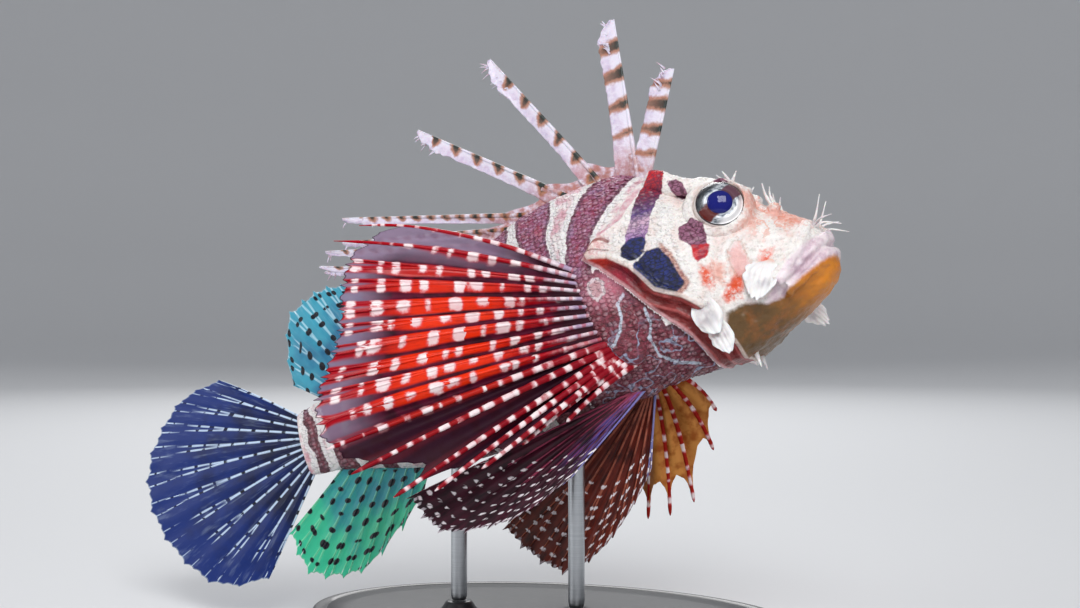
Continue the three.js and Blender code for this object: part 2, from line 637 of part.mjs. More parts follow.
const coverLift = keyed([10, 40, 56, 74], [COVER_LIFT, COVER_LIFT, SNOUT_LIFT, 0]);
const membraneLift = (x) => coverLift(x) * (MEMBRANE_LIFT / COVER_LIFT);
const grownLift = (x) => GAP + (x > COVER_START_X - 2 ? coverLift(x) : 0);
const wholeBody = bodyLoft(TAIL_END_X, SNOUT_X, 30, 22, 0);
const membraneLoft = bodyLoft(COVER_START_X, SNOUT_X, 14, 22, membraneLift);
const coverLoft = bodyLoft(COVER_START_X, SNOUT_X, 16, 24, coverLift, 0.15);
const grownBody = union([bodyLoft(TAIL_END_X - GAP, SNOUT_X, 30, 22, grownLift, GAP), finBases(GAP)]);

function eyeSphere(side, grow) {
  const geometry = new THREE.SphereGeometry(EYE_R + grow, 14, 9);
  return solidOf(geometry.translate(EYE_AT[0], side * EYE_AT[1], EYE_AT[2]));
}

const jawRegion = sideRegion(GAPE);
const jawRegionGrown = sideRegion(offsetOutline(GAPE, GAP + 0.05));
const headCore = membraneLoft.intersect(sideRegion(MEMBRANE_EDGE));
const gillCover = coverLoft.intersect(sideRegion(COVER_EDGE));
const wholeHead = union([headCore, gillCover]);

function headSolid() {
  const features = [...headFeatures(-1), ...headFeatures(1)];
  return largest(
    union([wholeHead.subtract(jawRegionGrown), ...features])
      .add(lip(UPPER_LIP_RISE, 0).subtract(jawRegionGrown))
      .subtract(eyeSphere(-1, GAP))
      .subtract(eyeSphere(1, GAP))
      .subtract(nostril(-1))
      .subtract(nostril(1)),
  );
}

function jawSolid(head) {
  const jaw = union([wholeHead, lip(LOWER_LIP_RISE, LOWER_LIP_FORWARD)]).intersect(jawRegion);
  return largest(jaw.subtract(head));
}

// Everything behind a station.
function behind(x) {
  return sideRegion([[x, FAR_ABOVE], [FAR_BEHIND, FAR_ABOVE], [FAR_BEHIND, FAR_BELOW], [x, FAR_BELOW]]);
}

function torsoSolid() {
  const gill = sideRegion(offsetOutline(MEMBRANE_EDGE, GAP));
  return largest(union([wholeBody, finBases(0)]).subtract(gill).subtract(behind(STALK_X)));
}

function stalkSolid() {
  return largest(wholeBody.intersect(behind(STALK_X - GAP)));
}

// A fin, trimmed to meet the body face to face with the gap.
const rooted = (solid) => largest(solid.subtract(grownBody));

function spineRun(first, last) {
  const blades = [];
  for (let index = first; index <= last; index += 1) blades.push(spineBlade(index));
  return rooted(union([backWeb(first, last), ...blades]));
}

// Scene graph
const fish = new THREE.Group();
fish.position.set(...FISH_AT);
fish.rotation.set(-radians(BANK_DEG), -radians(NOSE_UP_DEG), 0, "YXZ");
fish.updateMatrixWorld(true);
const part = new THREE.Group();
part.add(fish);

// The bare geometry of a solid.
function geometryOf(solid) {
  const { numProp, vertProperties, triVerts } = solid.getMesh();
  const buffer = new THREE.InterleavedBuffer(vertProperties, numProp);
  const geometry = new THREE.BufferGeometry();
  geometry.setAttribute("position", new THREE.InterleavedBufferAttribute(buffer, 3, 0));
  return geometry.setIndex([...triVerts]).toNonIndexed();
}

// A solid as a geometry: vertices that are one in their final place are joined, and loose slivers dropped.
function finished(solid, placement) {
  let geometry = geometryOf(solid).applyMatrix4(placement);
  for (let pass = 0; pass < 3; pass += 1) geometry = geometryOf(largest(solidOf(geometry, MERGE_DISTANCE)));
  geometry = mergeVertices(geometry, 1e-6).applyMatrix4(placement.clone().invert());
  geometry.computeVertexNormals();
  return geometry;
}

function addNode(group, name, solid, colour, roughness, metalness = 0) {
  const material = new THREE.MeshStandardMaterial({ color: colour, roughness, metalness });
  const mesh = new THREE.Mesh(finished(solid, group.matrixWorld), material);
  mesh.name = name;
  group.add(mesh);
}

const head = headSolid();
addNode(fish, "head", head, CREAM, 0.5);
addNode(fish, "lower_jaw", jawSolid(head), CREAM, 0.5);
addNode(fish, "eye_right", eyeSphere(-1, 0), INK, 0.1);
addNode(fish, "eye_left", eyeSphere(1, 0), INK, 0.1);
addNode(fish, "torso", torsoSolid(), MAROON, 0.55);
addNode(fish, "tail_stalk", stalkSolid(), MAROON, 0.55);

addNode(fish, "dorsal_spines_front", spineRun(0, 1), CREAM, 0.5);
addNode(fish, "dorsal_spines_middle", spineRun(2, 3), CREAM, 0.5);
addNode(fish, "dorsal_spines_rear", spineRun(4, 12), CREAM, 0.5);

const PAIRED_WEBS = { rows: 5, crestRoot: 1.7, crestTip: 0.7, webs: [0.5] };
addNode(fish, "pectoral_fin_right", rooted(pectoralRight.solid({ ...PAIRED_WEBS, rows: 4 })), RED, 0.45);
addNode(fish, "pectoral_fin_left", rooted(pectoralLeft.solid(PAIRED_WEBS)), RED, 0.45);
const PELVIC_WEBS = { rows: 4, crestRoot: 1.4, crestTip: 0.7 };
addNode(fish, "pelvic_fin_right", rooted(pelvicRight.solid(PELVIC_WEBS)), DARK_WINE, 0.45);
addNode(fish, "pelvic_fin_left", rooted(pelvicLeft.solid(PELVIC_WEBS)), DARK_WINE, 0.45);
const MEDIAN_WEBS = { rows: 4, crestRoot: 1.5, crestTip: 0.7, start: -0.08 };
addNode(fish, "caudal_fin", rooted(caudal.solid(MEDIAN_WEBS)), SLATE_BLUE, 0.4);
addNode(fish, "anal_fin", rooted(anal.solid(MEDIAN_WEBS)), SEA_GREEN, 0.4);
addNode(fish, "soft_dorsal_fin", rooted(softDorsal.solid(MEDIAN_WEBS)), SLATE_BLUE, 0.4);

// The stand: an oval base with a collar for each rod, and two rods up to the belly.
function standBase() {
  const [halfLength, halfWidth] = [BASE_LENGTH / 2 - BASE_EDGE, BASE_WIDTH / 2 - BASE_EDGE];
  const outline = new THREE.Shape().absellipse(0, 0, halfLength, halfWidth, 0, 2 * Math.PI);
  const plate = new THREE.ExtrudeGeometry(outline, {
    depth: BASE_HEIGHT - 2 * BASE_EDGE,
    bevelEnabled: true,
    bevelThickness: BASE_EDGE,
    bevelSize: BASE_EDGE,
    bevelSegments: 1,
    curveSegments: 18,
  });
  return solidOf(plate.translate(0, 0, BASE_EDGE));
}

function rodPlace(x) {
  return new THREE.Vector3(x, 0, bellyAt(x)).applyMatrix4(fish.matrixWorld);
}

function collar(x) {
  const tall = COLLAR_HEIGHT + COLLAR_SINK;
  const geometry = new THREE.CylinderGeometry(COLLAR_R - COLLAR_TAPER, COLLAR_R, tall, 20);
  const place = rodPlace(x);
  geometry.rotateX(Math.PI / 2).translate(place.x, place.y, BASE_HEIGHT + COLLAR_HEIGHT - tall / 2);
  return solidOf(geometry);
}

function rod(x) {
  const place = rodPlace(x);
  const foot = BASE_HEIGHT + COLLAR_HEIGHT + GAP;
  const length = place.z + ROD_RUN_IN - foot;
  const geometry = new THREE.CylinderGeometry(ROD_R, ROD_R, length, 16);
  geometry.rotateX(Math.PI / 2).translate(place.x, place.y, foot + length / 2);
  const grownInPlace = grownBody.transform(fish.matrixWorld.toArray());
  return largest(solidOf(geometry).subtract(grownInPlace));
}

addNode(part, "stand_base", union([standBase(), ...ROD_X.map(collar)]), BASE_BLACK, 0.35);
addNode(part, "stand_rod_front", rod(ROD_X[0]), STEEL, 0.3, 1);
addNode(part, "stand_rod_rear", rod(ROD_X[1]), STEEL, 0.3, 1);

export default part;
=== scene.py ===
"""A life-size zebra lionfish, hovering nose up on a display stand, in soft studio light.

The fish is shaped level in its own frame, in millimetres, with X to the snout, Y to its left and Z up.
Every mesh is then banked, pitched and lifted onto the stand, and written in metres.
"""

import logging
import math
from dataclasses import dataclass
from enum import Enum
from typing import Any, Callable, Optional, Protocol, Sequence, Union

import bpy
import numpy as np
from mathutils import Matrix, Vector
from mathutils.bvhtree import BVHTree


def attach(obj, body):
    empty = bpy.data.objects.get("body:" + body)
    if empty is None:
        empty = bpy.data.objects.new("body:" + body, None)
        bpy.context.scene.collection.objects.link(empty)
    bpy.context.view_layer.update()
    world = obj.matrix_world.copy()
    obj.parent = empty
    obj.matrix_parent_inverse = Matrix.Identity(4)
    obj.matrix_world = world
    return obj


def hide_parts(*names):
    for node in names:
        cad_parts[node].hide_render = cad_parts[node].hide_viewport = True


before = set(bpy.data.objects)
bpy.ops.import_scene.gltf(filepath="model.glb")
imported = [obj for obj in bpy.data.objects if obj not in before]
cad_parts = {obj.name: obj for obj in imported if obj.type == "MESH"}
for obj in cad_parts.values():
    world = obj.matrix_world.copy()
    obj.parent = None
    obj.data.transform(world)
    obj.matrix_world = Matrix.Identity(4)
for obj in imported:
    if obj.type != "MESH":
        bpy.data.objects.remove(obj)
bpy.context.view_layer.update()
BODY = "root"
SEED = 7

Array = np.ndarray
Colour = int
Piece = bpy.types.Object
Material = bpy.types.Material
LOG = logging.getLogger("lionfish")


class Side(Enum):
    """A side of the fish, as the sign of its Y."""

    RIGHT = -1
    LEFT = 1

    def mirror(self) -> Array:
        """What turns a place on the fish's left into the same place on this side."""
        return np.array([1, self.value, 1])


class Slot(Enum):
    """The record's material slots."""

    SKIN = "skin"
    EYE = "eye"
    SPINE = "spine_blade"
    PECTORAL = "pectoral_fin"
    PELVIC = "pelvic_fin"
    TAIL = "tail_fin"
    BLACK = "stand_black"
    STEEL = "stand_steel"


def tint(code: Colour) -> tuple[float, ...]:
    """A hexadecimal screen colour as linear red, green and blue, and an alpha of 1."""
    parts = [((code >> shift) & 255) / 255 for shift in (16, 8, 0)]
    return (*(p / 12.92 if p <= 0.04045 else ((p + 0.055) / 1.055) ** 2.4 for p in parts), 1)


def unit(vectors: Array) -> Array:
    """Vectors scaled to length one."""
    vectors = np.asarray(vectors, float)
    return vectors / np.maximum(np.linalg.norm(vectors, axis=-1, keepdims=True), 1e-12)


def ease(low: float, high: float, value: Array) -> Array:
    """A smooth step from 0 at low to 1 at high."""
    share = np.clip((np.asarray(value, float) - low) / (high - low), 0, 1)
    return share * share * (3 - 2 * share)


def bump(distance: Array, width: float) -> Array:
    """A rounded bump, 1 in the middle and fading out over a width."""
    return np.exp(-((distance / width) ** 2))


class Curve:
    """A smooth curve through values that never overshoots them."""

    def __init__(self, values: Union[float, Sequence[float]], keys: Optional[Sequence[float]] = None) -> None:
        """Work out a slope at each key.

        Args:
            values: The value at each key, or one value for a constant.
            keys: Rising keys, spread evenly from 0 to 1 if left out.
        """
        self.values = np.atleast_1d(np.asarray(values, float))
        if len(self.values) == 1:
            self.values = np.repeat(self.values, 2)
        self.keys = np.linspace(0, 1, len(self.values)) if keys is None else np.asarray(keys, float)
        slopes = np.diff(self.values) / np.diff(self.keys)
        product = slopes[:-1] * slopes[1:]
        total = np.where(product > 0, slopes[:-1] + slopes[1:], 1)
        inner = np.where(product > 0, 2 * product / total, 0)
        self.slopes = np.concatenate([slopes[:1], inner, slopes[-1:]])

    def __call__(self, key: Union[float, Array]) -> Array:
        """The curve's value at each key, held at its ends.

        Args:
            key: Where to read the curve.

        Returns:
            A value for each key.
        """
        k = np.clip(key, self.keys[0], self.keys[-1])
        i = np.clip(np.searchsorted(self.keys, k, side="right") - 1, 0, len(self.keys) - 2)
        span = self.keys[i + 1] - self.keys[i]
        t = (k - self.keys[i]) / span
        rise = 3 * t**2 - 2 * t**3
        start = self.slopes[i] * span * (t**3 - 2 * t**2 + t)
        end = self.slopes[i + 1] * span * (t**3 - t**2)
        return self.values[i] * (1 - rise) + self.values[i + 1] * rise + start + end


def noise(points: Array, scale: float, seed: int = 0) -> Array:
    """Smooth value noise from -1 to 1.

    Args:
        points: Places, in millimetres.
        scale: The size of one blotch, in millimetres.
        seed: Picks one of many such noises.

    Returns:
        One value for each point.
    """
    table = np.random.default_rng(SEED + seed).uniform(-1, 1, (32, 32, 32))
    place = np.asarray(points, float) / scale + 1000.5
    cell = np.floor(place).astype(int)
    part = ease(0, 1, place - cell)
    value = np.zeros(place.shape[:-1])
    for corner in range(8):
        step = np.array([corner & 1, corner >> 1 & 1, corner >> 2 & 1])
        weight = np.prod(np.where(step, part, 1 - part), axis=-1)
        i, j, k = np.moveaxis((cell + step) % 32, -1, 0)
        value += weight * table[i, j, k]
    return value


def path_distance(points: Array, path: Sequence[Sequence[float]]) -> Array:
    """The distance of flat points from an open path of corners.

    Args:
        points: Places of the side view, in two columns.
        path: The path's corners.

    Returns:
        A distance for each point, in millimetres.
    """
    corners = np.asarray(path, float)
    best = np.full(len(points), np.inf)
    for start, end in zip(corners[:-1], corners[1:]):
        line = end - start
        share = np.clip((points - start) @ line / (line @ line), 0, 1)
        best = np.minimum(best, np.linalg.norm(points - start - share[:, None] * line, axis=1))
    return best


def patch_depth(points: Array, outline: Sequence[Sequence[float]]) -> Array:
    """How deep flat points lie inside a closed outline, negative outside.

    Args:
        points: Places of the side view, in two columns.
        outline: The outline's corners, in order.

    Returns:
        A depth for each point, in millimetres.
    """
    corners = np.asarray(outline, float)
    inside = np.zeros(len(points), bool)
    x, z = points.T
    for (ax, az), (bx, bz) in zip(corners, np.roll(corners, -1, axis=0)):
        crosses = (az > z) != (bz > z)
        rise = np.where(crosses, bz - az, 1)
        inside ^= crosses & (x < (bx - ax) * (z - az) / rise + ax)
    distance = path_distance(points, np.vstack([corners, corners[:1]]))
    return np.where(inside, distance, -distance)


def spline(points: Sequence[Sequence[float]], steps: int) -> Array:
    """Points spread along a smooth curve through a few.

    Args:
        points: The few points.
        steps: How many stretches the curve is cut into.

    Returns:
        The points, one more than the steps.
    """
    knots = np.asarray(points, float)
    lengths = np.concatenate([[0], np.cumsum(np.linalg.norm(np.diff(knots, axis=0), axis=1))])
    padded = np.vstack([2 * knots[0] - knots[1], knots, 2 * knots[-1] - knots[-2]])
    place = np.linspace(0, lengths[-1], steps + 1)
    i = np.clip(np.searchsorted(lengths, place, side="right") - 1, 0, len(knots) - 2)
    t = ((place - lengths[i]) / (lengths[i + 1] - lengths[i]))[:, None]
    a, b, c, d = (padded[i + k] for k in range(4))
    return 0.5 * (2 * b + (c - a) * t + (2 * a - 5 * b + 4 * c - d) * t**2 + (3 * b - a - 3 * c + d) * t**3)


@dataclass(frozen=True)
class Pose:
    """How the level fish is set over its stand."""

    nose_up: float = 20.0
    bank: float = 8.0
    at: tuple[float, float, float] = (-2.0, 0.0, 82.0)

    def world(self, points: Array) -> Array:
        """Points of the level fish, in millimetres, as posed points in metres.

        Args:
            points: Places on the level fish.

        Returns:
            The same places once posed.
        """
        a, b = math.radians(-self.bank), math.radians(-self.nose_up)
        roll = np.array([[1, 0, 0], [0, math.cos(a), -math.sin(a)], [0, math.sin(a), math.cos(a)]])
        pitch = np.array([[math.cos(b), 0, math.sin(b)], [0, 1, 0], [-math.sin(b), 0, math.cos(b)]])
        return (np.asarray(points) @ (pitch @ roll).T + np.array(self.at)) / 1000


@dataclass(frozen=True)
class Upright:
    """The stand's own pose: millimetres to metres, with nothing turned."""

    def world(self, points: Array) -> Array:
        """Points in millimetres as points in metres."""
        return np.asarray(points) / 1000


def grid(rows: int, columns: int, closed: bool = False) -> Array:
    """The four-sided faces of a grid of points, with its last column joined to its first if closed.

    Args:
        rows: The number of rows.
        columns: The number of points in a row.
        closed: Whether each row is a ring.

    Returns:
        Four point numbers for each face.
    """
    span = columns if closed else columns - 1
    row, column = np.meshgrid(np.arange(rows - 1), np.arange(span), indexing="ij")
    here = (row * columns + column).ravel()
    right = (row * columns + (column + 1) % columns).ravel()
    return np.stack([here, right, right + columns, here + columns], axis=1)


class Shape:
    """Points and faces gathered from several forms, with fields on the points, for one mesh."""

    def __init__(self) -> None:
        """Start with nothing."""
        self.points: list[Array] = []
        self.faces: list[Array] = []
        self.fields: list[dict[str, Array]] = []
        self.count = 0

    def add(self, points: Array, faces: Sequence[Array], **fields: Array) -> "Shape":
        """Add a form.

        Args:
            points: Its points, in millimetres.
            faces: Arrays of faces, each row with the numbers of one face's points.
            **fields: Values or vectors on the points.

        Returns:
            The shape itself.
        """
        points = np.asarray(points, float).reshape(-1, 3)
        self.faces.extend(np.asarray(block) + self.count for block in faces)
        self.points.append(points)
        self.fields.append(fields)
        self.count += len(points)
        return self

    def rings(self, rings: Array, **fields: Array) -> "Shape":
        """Add a closed loft through rings of points, with its two ends capped.

        Args:
            rings: Rows of points, a ring in each.
            **fields: Vectors on the points.

        Returns:
            The shape itself.
        """
        rows, sides = rings.shape[:2]
        caps = [np.arange(sides)[None, ::-1], np.arange(sides)[None] + (rows - 1) * sides]
        return self.add(rings, [grid(rows, sides, closed=True), *caps], **fields)

    def tube(self, path: Array, radii: Array, sides: int = 8, flat: float = 1.0,
             across: Sequence[float] = (0, 1, 0), **fields: Array) -> "Shape":
        """Add a tapered rod along a path.

        Args:
            path: The points of its middle line.
            radii: Its radius at each point.
            sides: The number of its sides.
            flat: Its thickness along across, as a share of its width.
            across: The direction in which it is flattened.
            **fields: Values or vectors at each point of the path.

        Returns:
            The shape itself.
        """
        along = unit(np.gradient(path, axis=0))
        wide = unit(np.cross(along, np.asarray(across, float)))
        thin = np.cross(wide, along)
        angle = np.linspace(0, 2 * np.pi, sides, endpoint=False)
        radii = np.broadcast_to(radii, len(path))[:, None, None]
        ring = wide[:, None] * np.cos(angle)[:, None] + flat * thin[:, None] * np.sin(angle)[:, None]
        spread = {name: np.repeat(value, sides, axis=0) for name, value in fields.items()}
        return self.rings(path[:, None] + radii * ring, **spread)

    def lump(self, centre: Sequence[float], radii: Sequence[float], turn: float = 0.0) -> "Shape":
        """Add an egg-shaped lump, turned about Y by degrees.

        Args:
            centre: Its middle.
            radii: Half its length along X, Y and Z.
            turn: How far its top leans forward.

        Returns:
            The shape itself.
        """
        polar = np.linspace(0.02, np.pi - 0.02, 24)[:, None]
        around = np.linspace(0, 2 * np.pi, 48, endpoint=False)[None]
        x, y, z = np.sin(polar) * np.cos(around), np.sin(polar) * np.sin(around), np.cos(polar) + 0 * around
        ball = np.stack([x, y, z], axis=-1) * np.asarray(radii, float)
        c, s = math.cos(math.radians(turn)), math.sin(math.radians(turn))
        return self.rings(ball @ np.array([[c, 0, s], [0, 1, 0], [-s, 0, c]]).T + np.asarray(centre, float))

    def sheet(self, middle: Array, half: Union[float, Array], normal: Optional[Array] = None,
              **fields: Array) -> "Shape":
        """Add a closed thin sheet.

        Args:
            middle: Rows and columns of points of its middle surface.
            half: Half its thickness, the same all over or at each point.
            normal: Its normals, worked out from the points if left out.
            **fields: Values or vectors at each point.

        Returns:
            The shape itself.
        """
        rows, columns = middle.shape[:2]
        if normal is None:
            normal = unit(np.cross(np.gradient(middle, axis=1), np.gradient(middle, axis=0)))
        offset = normal * np.broadcast_to(half, (rows, columns))[..., None]
        number = np.arange(rows * columns).reshape(rows, columns)
        rim = np.concatenate([number[0, :-1], number[:-1, -1], number[-1, :0:-1], number[:0:-1, 0]])
        after = np.roll(rim, -1)
        count = rows * columns
        front = grid(rows, columns)
        edge = np.stack([rim, rim + count, after + count, after], axis=1)
        both = {name: np.concatenate([value.reshape(count, -1)] * 2) for name, value in fields.items()}
        points = np.concatenate([(middle + offset).reshape(-1, 3), (middle - offset).reshape(-1, 3)])
        return self.add(points, [front, front[:, ::-1] + count, edge], **both)

    def joined(self) -> Array:
        """All the points so far."""
        return np.concatenate(self.points)

    def face_rows(self) -> list[list[int]]:
        """All the faces so far, each as the numbers of its points."""
        return [row for block in self.faces for row in block.tolist()]

    def mesh(self, name: str, place: Union[Pose, Upright]) -> bpy.types.Mesh:
        """A Blender mesh of the shape, posed, with its fields as attributes.

        Args:
            name: The mesh's name.
            place: The pose that carries it.

        Returns:
            The mesh.
        """
        mesh = bpy.data.meshes.new(name)
        points = self.joined()
        mesh.from_pydata(place.world(points).tolist(), [], self.face_rows())
        mesh.polygons.foreach_set("use_smooth", np.ones(len(mesh.polygons), bool))
        fields = {"fish": points}
        for key in sorted({key for form in self.fields for key in form}):
            parts = [form.get(key, np.zeros((len(block), 3)))
                     for form, block in zip(self.fields, self.points)]
            fields[key] = np.concatenate([np.asarray(part, float).reshape(-1, 3) for part in parts])
        for key, values in fields.items():
            layer = mesh.attributes.new(key, "FLOAT_VECTOR", "POINT")
            layer.data.foreach_set("vector", values.astype(np.float32).ravel())
        mesh.update()
        return mesh

    def piece(self, name: str, place: Union[Pose, Upright], material: Material, slot: Slot,
              nodes: Sequence[str] = ()) -> Piece:
        """Make the shape a piece that rides on the fish.

        Args:
            name: The piece's name.
            place: The pose that carries it.
            material: Its finish.
            slot: The record's slot that it belongs to; not used here.
            nodes: The solids that it stands for.

        Returns:
            The new object.
        """
        piece = bpy.data.objects.new(name, self.mesh(name, place))
        bpy.context.scene.collection.objects.link(piece)
        piece.data.materials.append(material)
        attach(piece, BODY)
        if nodes:
            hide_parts(*nodes)
        return piece


Value = Union["Socket", float, Colour]


def operator(kind: str, first: bool = True) -> Callable[["Socket", Value], "Socket"]:
    """Make a method that stands for a Python operator and adds its Math node.

    Args:
        kind: The node's operation.
        first: Whether the socket comes before the other value.

    Returns:
        The method.
    """

    def method(self: "Socket", other: Value) -> "Socket":
        """The operation's result."""
        return self.math(kind, other, first=first)

    return method


class Socket:
    """A node's output, on which Python sums stand for Math nodes."""

    def __init__(self, finish: "Finish", output: bpy.types.NodeSocket) -> None:
        """Wrap an output of a finish's nodes."""
        self.finish = finish
        self.output = output

    def math(self, operation: str, *others: Value, first: bool = True) -> "Socket":
        """A Math node on this and other values, with this one first or last."""
        values = (self, *others) if first else (*others, self)
        return self.finish.node("ShaderNodeMath", {"operation": operation}, dict(enumerate(values)))

    __add__ = operator("ADD")
    __radd__ = operator("ADD", first=False)
    __sub__ = operator("SUBTRACT")
    __rsub__ = operator("SUBTRACT", first=False)
    __mul__ = operator("MULTIPLY")
    __rmul__ = operator("MULTIPLY", first=False)
    __truediv__ = operator("DIVIDE")
    __pow__ = operator("POWER")
    least = operator("MINIMUM")
    most = operator("MAXIMUM")

    def size(self) -> "Socket":
        """The value without its sign."""
        return self.math("ABSOLUTE")

    def step(self, at: Value = 0.0, soft: float = 0.3) -> "Socket":
        """A smooth step from 0 below a place to 1 above it, over a width."""
        settings = {"interpolation_type": "SMOOTHSTEP", "clamp": True}
        return self.finish.node("ShaderNodeMapRange", settings, {"Value": (self - at) / soft + 0.5})


class Finish:
    """A material whose look is worked out by nodes."""

    def __init__(self, name: str) -> None:
        """Start an empty material.

        Args:
            name: The material's name.
        """
        self.material = bpy.data.materials.new(name)
        self.material.use_nodes = True
        self.tree = self.material.node_tree
        self.tree.nodes.clear()

    def node(self, kind: str, settings: Optional[dict[str, Any]] = None,
             inputs: Optional[dict[Any, Value]] = None, output: Union[int, str] = 0) -> Socket:
        """Add a node.

        Args:
            kind: The node's type.
            settings: Its properties, set first; "stops" are a ramp's places and colours.
            inputs: Values or links of its sockets, by name or number.
            output: The output that is wanted.

        Returns:
            That output.
        """
        made = self.tree.nodes.new(kind)
        for name, value in (settings or {}).items():
            if name == "stops":
                ramp = made.color_ramp.elements
                while len(ramp) < len(value):
                    ramp.new(0.5)
                for element, (place, colour) in zip(ramp, value):
                    element.position = place
                    element.color = tint(colour)
            else:
                setattr(made, name, value)
        for name, value in (inputs or {}).items():
            socket = made.inputs[name]
            if isinstance(value, Socket):
                self.tree.links.new(value.output, socket)
            elif socket.type == "RGBA":
                socket.default_value = tint(value)
            else:
                socket.default_value = value
        return Socket(self, made.outputs[output])

    def vector(self, name: str) -> Socket:
        """A vector that the mesh carries on its points."""
        return self.node("ShaderNodeAttribute", {"attribute_name": name}, output="Vector")

    def parts(self, vector: Socket) -> tuple[Socket, Socket, Socket]:
        """A vector's three numbers."""
        outputs = self.node("ShaderNodeSeparateXYZ", inputs={0: vector}).output.node.outputs
        return tuple(Socket(self, output) for output in outputs)

    def fields(self, name: str) -> tuple[Socket, Socket, Socket]:
        """The three numbers of a vector that the mesh carries on its points."""
        return self.parts(self.vector(name))

    def join(self, x: Value, y: Value, z: Value = 0.0) -> Socket:
        """A vector from three numbers."""
        return self.node("ShaderNodeCombineXYZ", inputs={0: x, 1: y, 2: z})

    def mix(self, share: Value, low: Value, high: Value) -> Socket:
        """A colour between two others."""
        settings = {"data_type": "RGBA", "clamp_factor": True}
        return self.node("ShaderNodeMix", settings, {0: share, 6: low, 7: high}, output=2)

    def ramp(self, place: Socket, stops: Sequence[tuple[float, Colour]]) -> Socket:
        """A colour read off a row of stops."""
        return self.node("ShaderNodeValToRGB", {"stops": stops}, {0: place})

    def clouds(self, at: Socket, size: float, detail: float = 2.0, rough: float = 0.5) -> Socket:
        """Cloudy noise from 0 to 1, with blotches of a size in millimetres."""
        sockets = {"Vector": at, "Scale": 1 / size, "Detail": detail, "Roughness": rough}
        return self.node("ShaderNodeTexNoise", inputs=sockets)

    def cells(self, at: Socket, size: float, feature: str = "F1", loose: float = 0.9) -> Socket:
        """The distance from the middle, or from the edge, of cells of a size in millimetres."""
        sockets = {"Vector": at, "Scale": 1 / size, "Randomness": loose}
        return self.node("ShaderNodeTexVoronoi", {"feature": feature}, sockets, output="Distance")

    def surface(self, colour: Value, rough: Value = 0.4, height: Optional[Socket] = None, lift: float = 0.2,
                **sockets: Value) -> Material:
        """Close the material with one surface shader.

        Args:
            colour: Its base colour.
            rough: Its roughness.
            height: What raises and lowers the surface, if anything does.
            lift: The depth of that relief, in millimetres.
            **sockets: Any other inputs, with underscores for spaces.

        Returns:
            The finished material.
        """
        inputs: dict[Any, Value] = {"Base Color": colour, "Roughness": rough}
        inputs.update({name.replace("_", " "): value for name, value in sockets.items()})
        if height is not None:
            relief = {"Strength": 1.0, "Distance": lift / 1000, "Height": height}
            inputs["Normal"] = self.node("ShaderNodeBump", inputs=relief)
        return self.close(self.node("ShaderNodeBsdfPrincipled", inputs=inputs))

    def close(self, shader: Socket) -> Material:
        """Make a shader the material's surface.

        Args:
            shader: The shader's output.

        Returns:
            The finished material.
        """
        out = self.tree.nodes.new("ShaderNodeOutputMaterial")
        self.tree.links.new(shader.output, out.inputs["Surface"])
        return self.material


STATIONS = (-72, -64, -55, -40, -25, -8, 6, 18, 28, 36, 42, 48, 54, 60, 66, 70, 72.5)
COVER_EDGE = ((40, 40), (38, 18), (29, 8.5), (21.8, 5.9), (19.2, 3.8), (19.4, 1.8), (24, 0.2), (28.6, -4),
              (32.5, -11), (37.8, -14.6), (41, -18), (45, -27), (46, -40), (90, -40), (90, 40))
COVER_RIM = slice(5, 11)
MEMBRANE_EDGE = ((37, 40), (36.5, 19), (27, 9), (17.5, 2.6), (21, -1), (26, -8), (31, -15.5), (36.5, -23),
                 (42, -40), (90, -40), (90, 40))
GAPE = ((74, -10.8), (66.5, -15.4), (60, -19.6), (53, -25))
EYE_AT = np.array((51.2, 8.7, 3.7))
EYE_AXIS = np.array((0.16, 0.94, 0.3))


@dataclass(frozen=True)
class BodyForm:
    """The body's outline, from the end of the tail stalk to the lips."""

    back: Curve = Curve((-4.5, -3.2, 0, 6, 12.5, 19, 23, 23.6, 22.9, 19, 13.2, 9, 6.5, 3, -2.2, -5.6, -8.4),
                        STATIONS)
    belly: Curve = Curve((-21, -22, -24.5, -29, -31.4, -32, -31, -30, -29.8, -30.2, -30.6, -30.2, -28, -25.6,
                          -22.8, -20.2, -16.5), STATIONS)
    half: Curve = Curve((2.8, 3.6, 4.8, 6.8, 9, 11.6, 13.4, 15, 15.6, 15.4, 14.8, 13.4, 12, 10.6, 8.8,
                         6.6, 4), STATIONS)
    widest: float = 0.45
    back_taper: float = 0.26
    roundness: float = 0.88
    tail_end: float = -72.0
    snout: float = 71.8

    def rings(self, stations: int, sides: int) -> Array:
        """Rings of points round the body, from the tail stalk to the lips.

        Args:
            stations: The number of rings.
            sides: The number of points in a ring.

        Returns:
            Rows of points, a ring in each.
        """
        x = np.linspace(self.tail_end, self.snout, stations)[:, None]
        angle = np.linspace(0, 2 * np.pi, sides, endpoint=False)[None]
        back, belly = self.back(x), self.belly(x)
        middle = belly + (back - belly) * self.widest
        side, up = np.cos(angle), np.sin(angle)
        taper = 1 - self.back_taper * np.maximum(0, up) ** 2
        y = self.half(x) * taper * np.sign(side) * np.abs(side) ** self.roundness
        z = middle + up * np.where(up > 0, back - middle, middle - belly)
        return np.stack(np.broadcast_arrays(x, y, z), axis=-1)

    def side_y(self, x: Array, z: Array) -> Array:
        """How far the flank stands out from the middle plane at places of the side view.

        Args:
            x: How far forward each place is.
            z: How high it is.

        Returns:
            Its distance from the middle plane.
        """
        back, belly = self.back(x), self.belly(x)
        middle = belly + (back - belly) * self.widest
        up = (z - middle) / np.where(z > middle, back - middle, middle - belly)
        taper = 1 - self.back_taper * np.maximum(0, up) ** 2 * (z > middle)
        return self.half(x) * taper * np.maximum(0, 1 - up * up) ** (self.roundness / 2)


BODY_FORM = BodyForm()


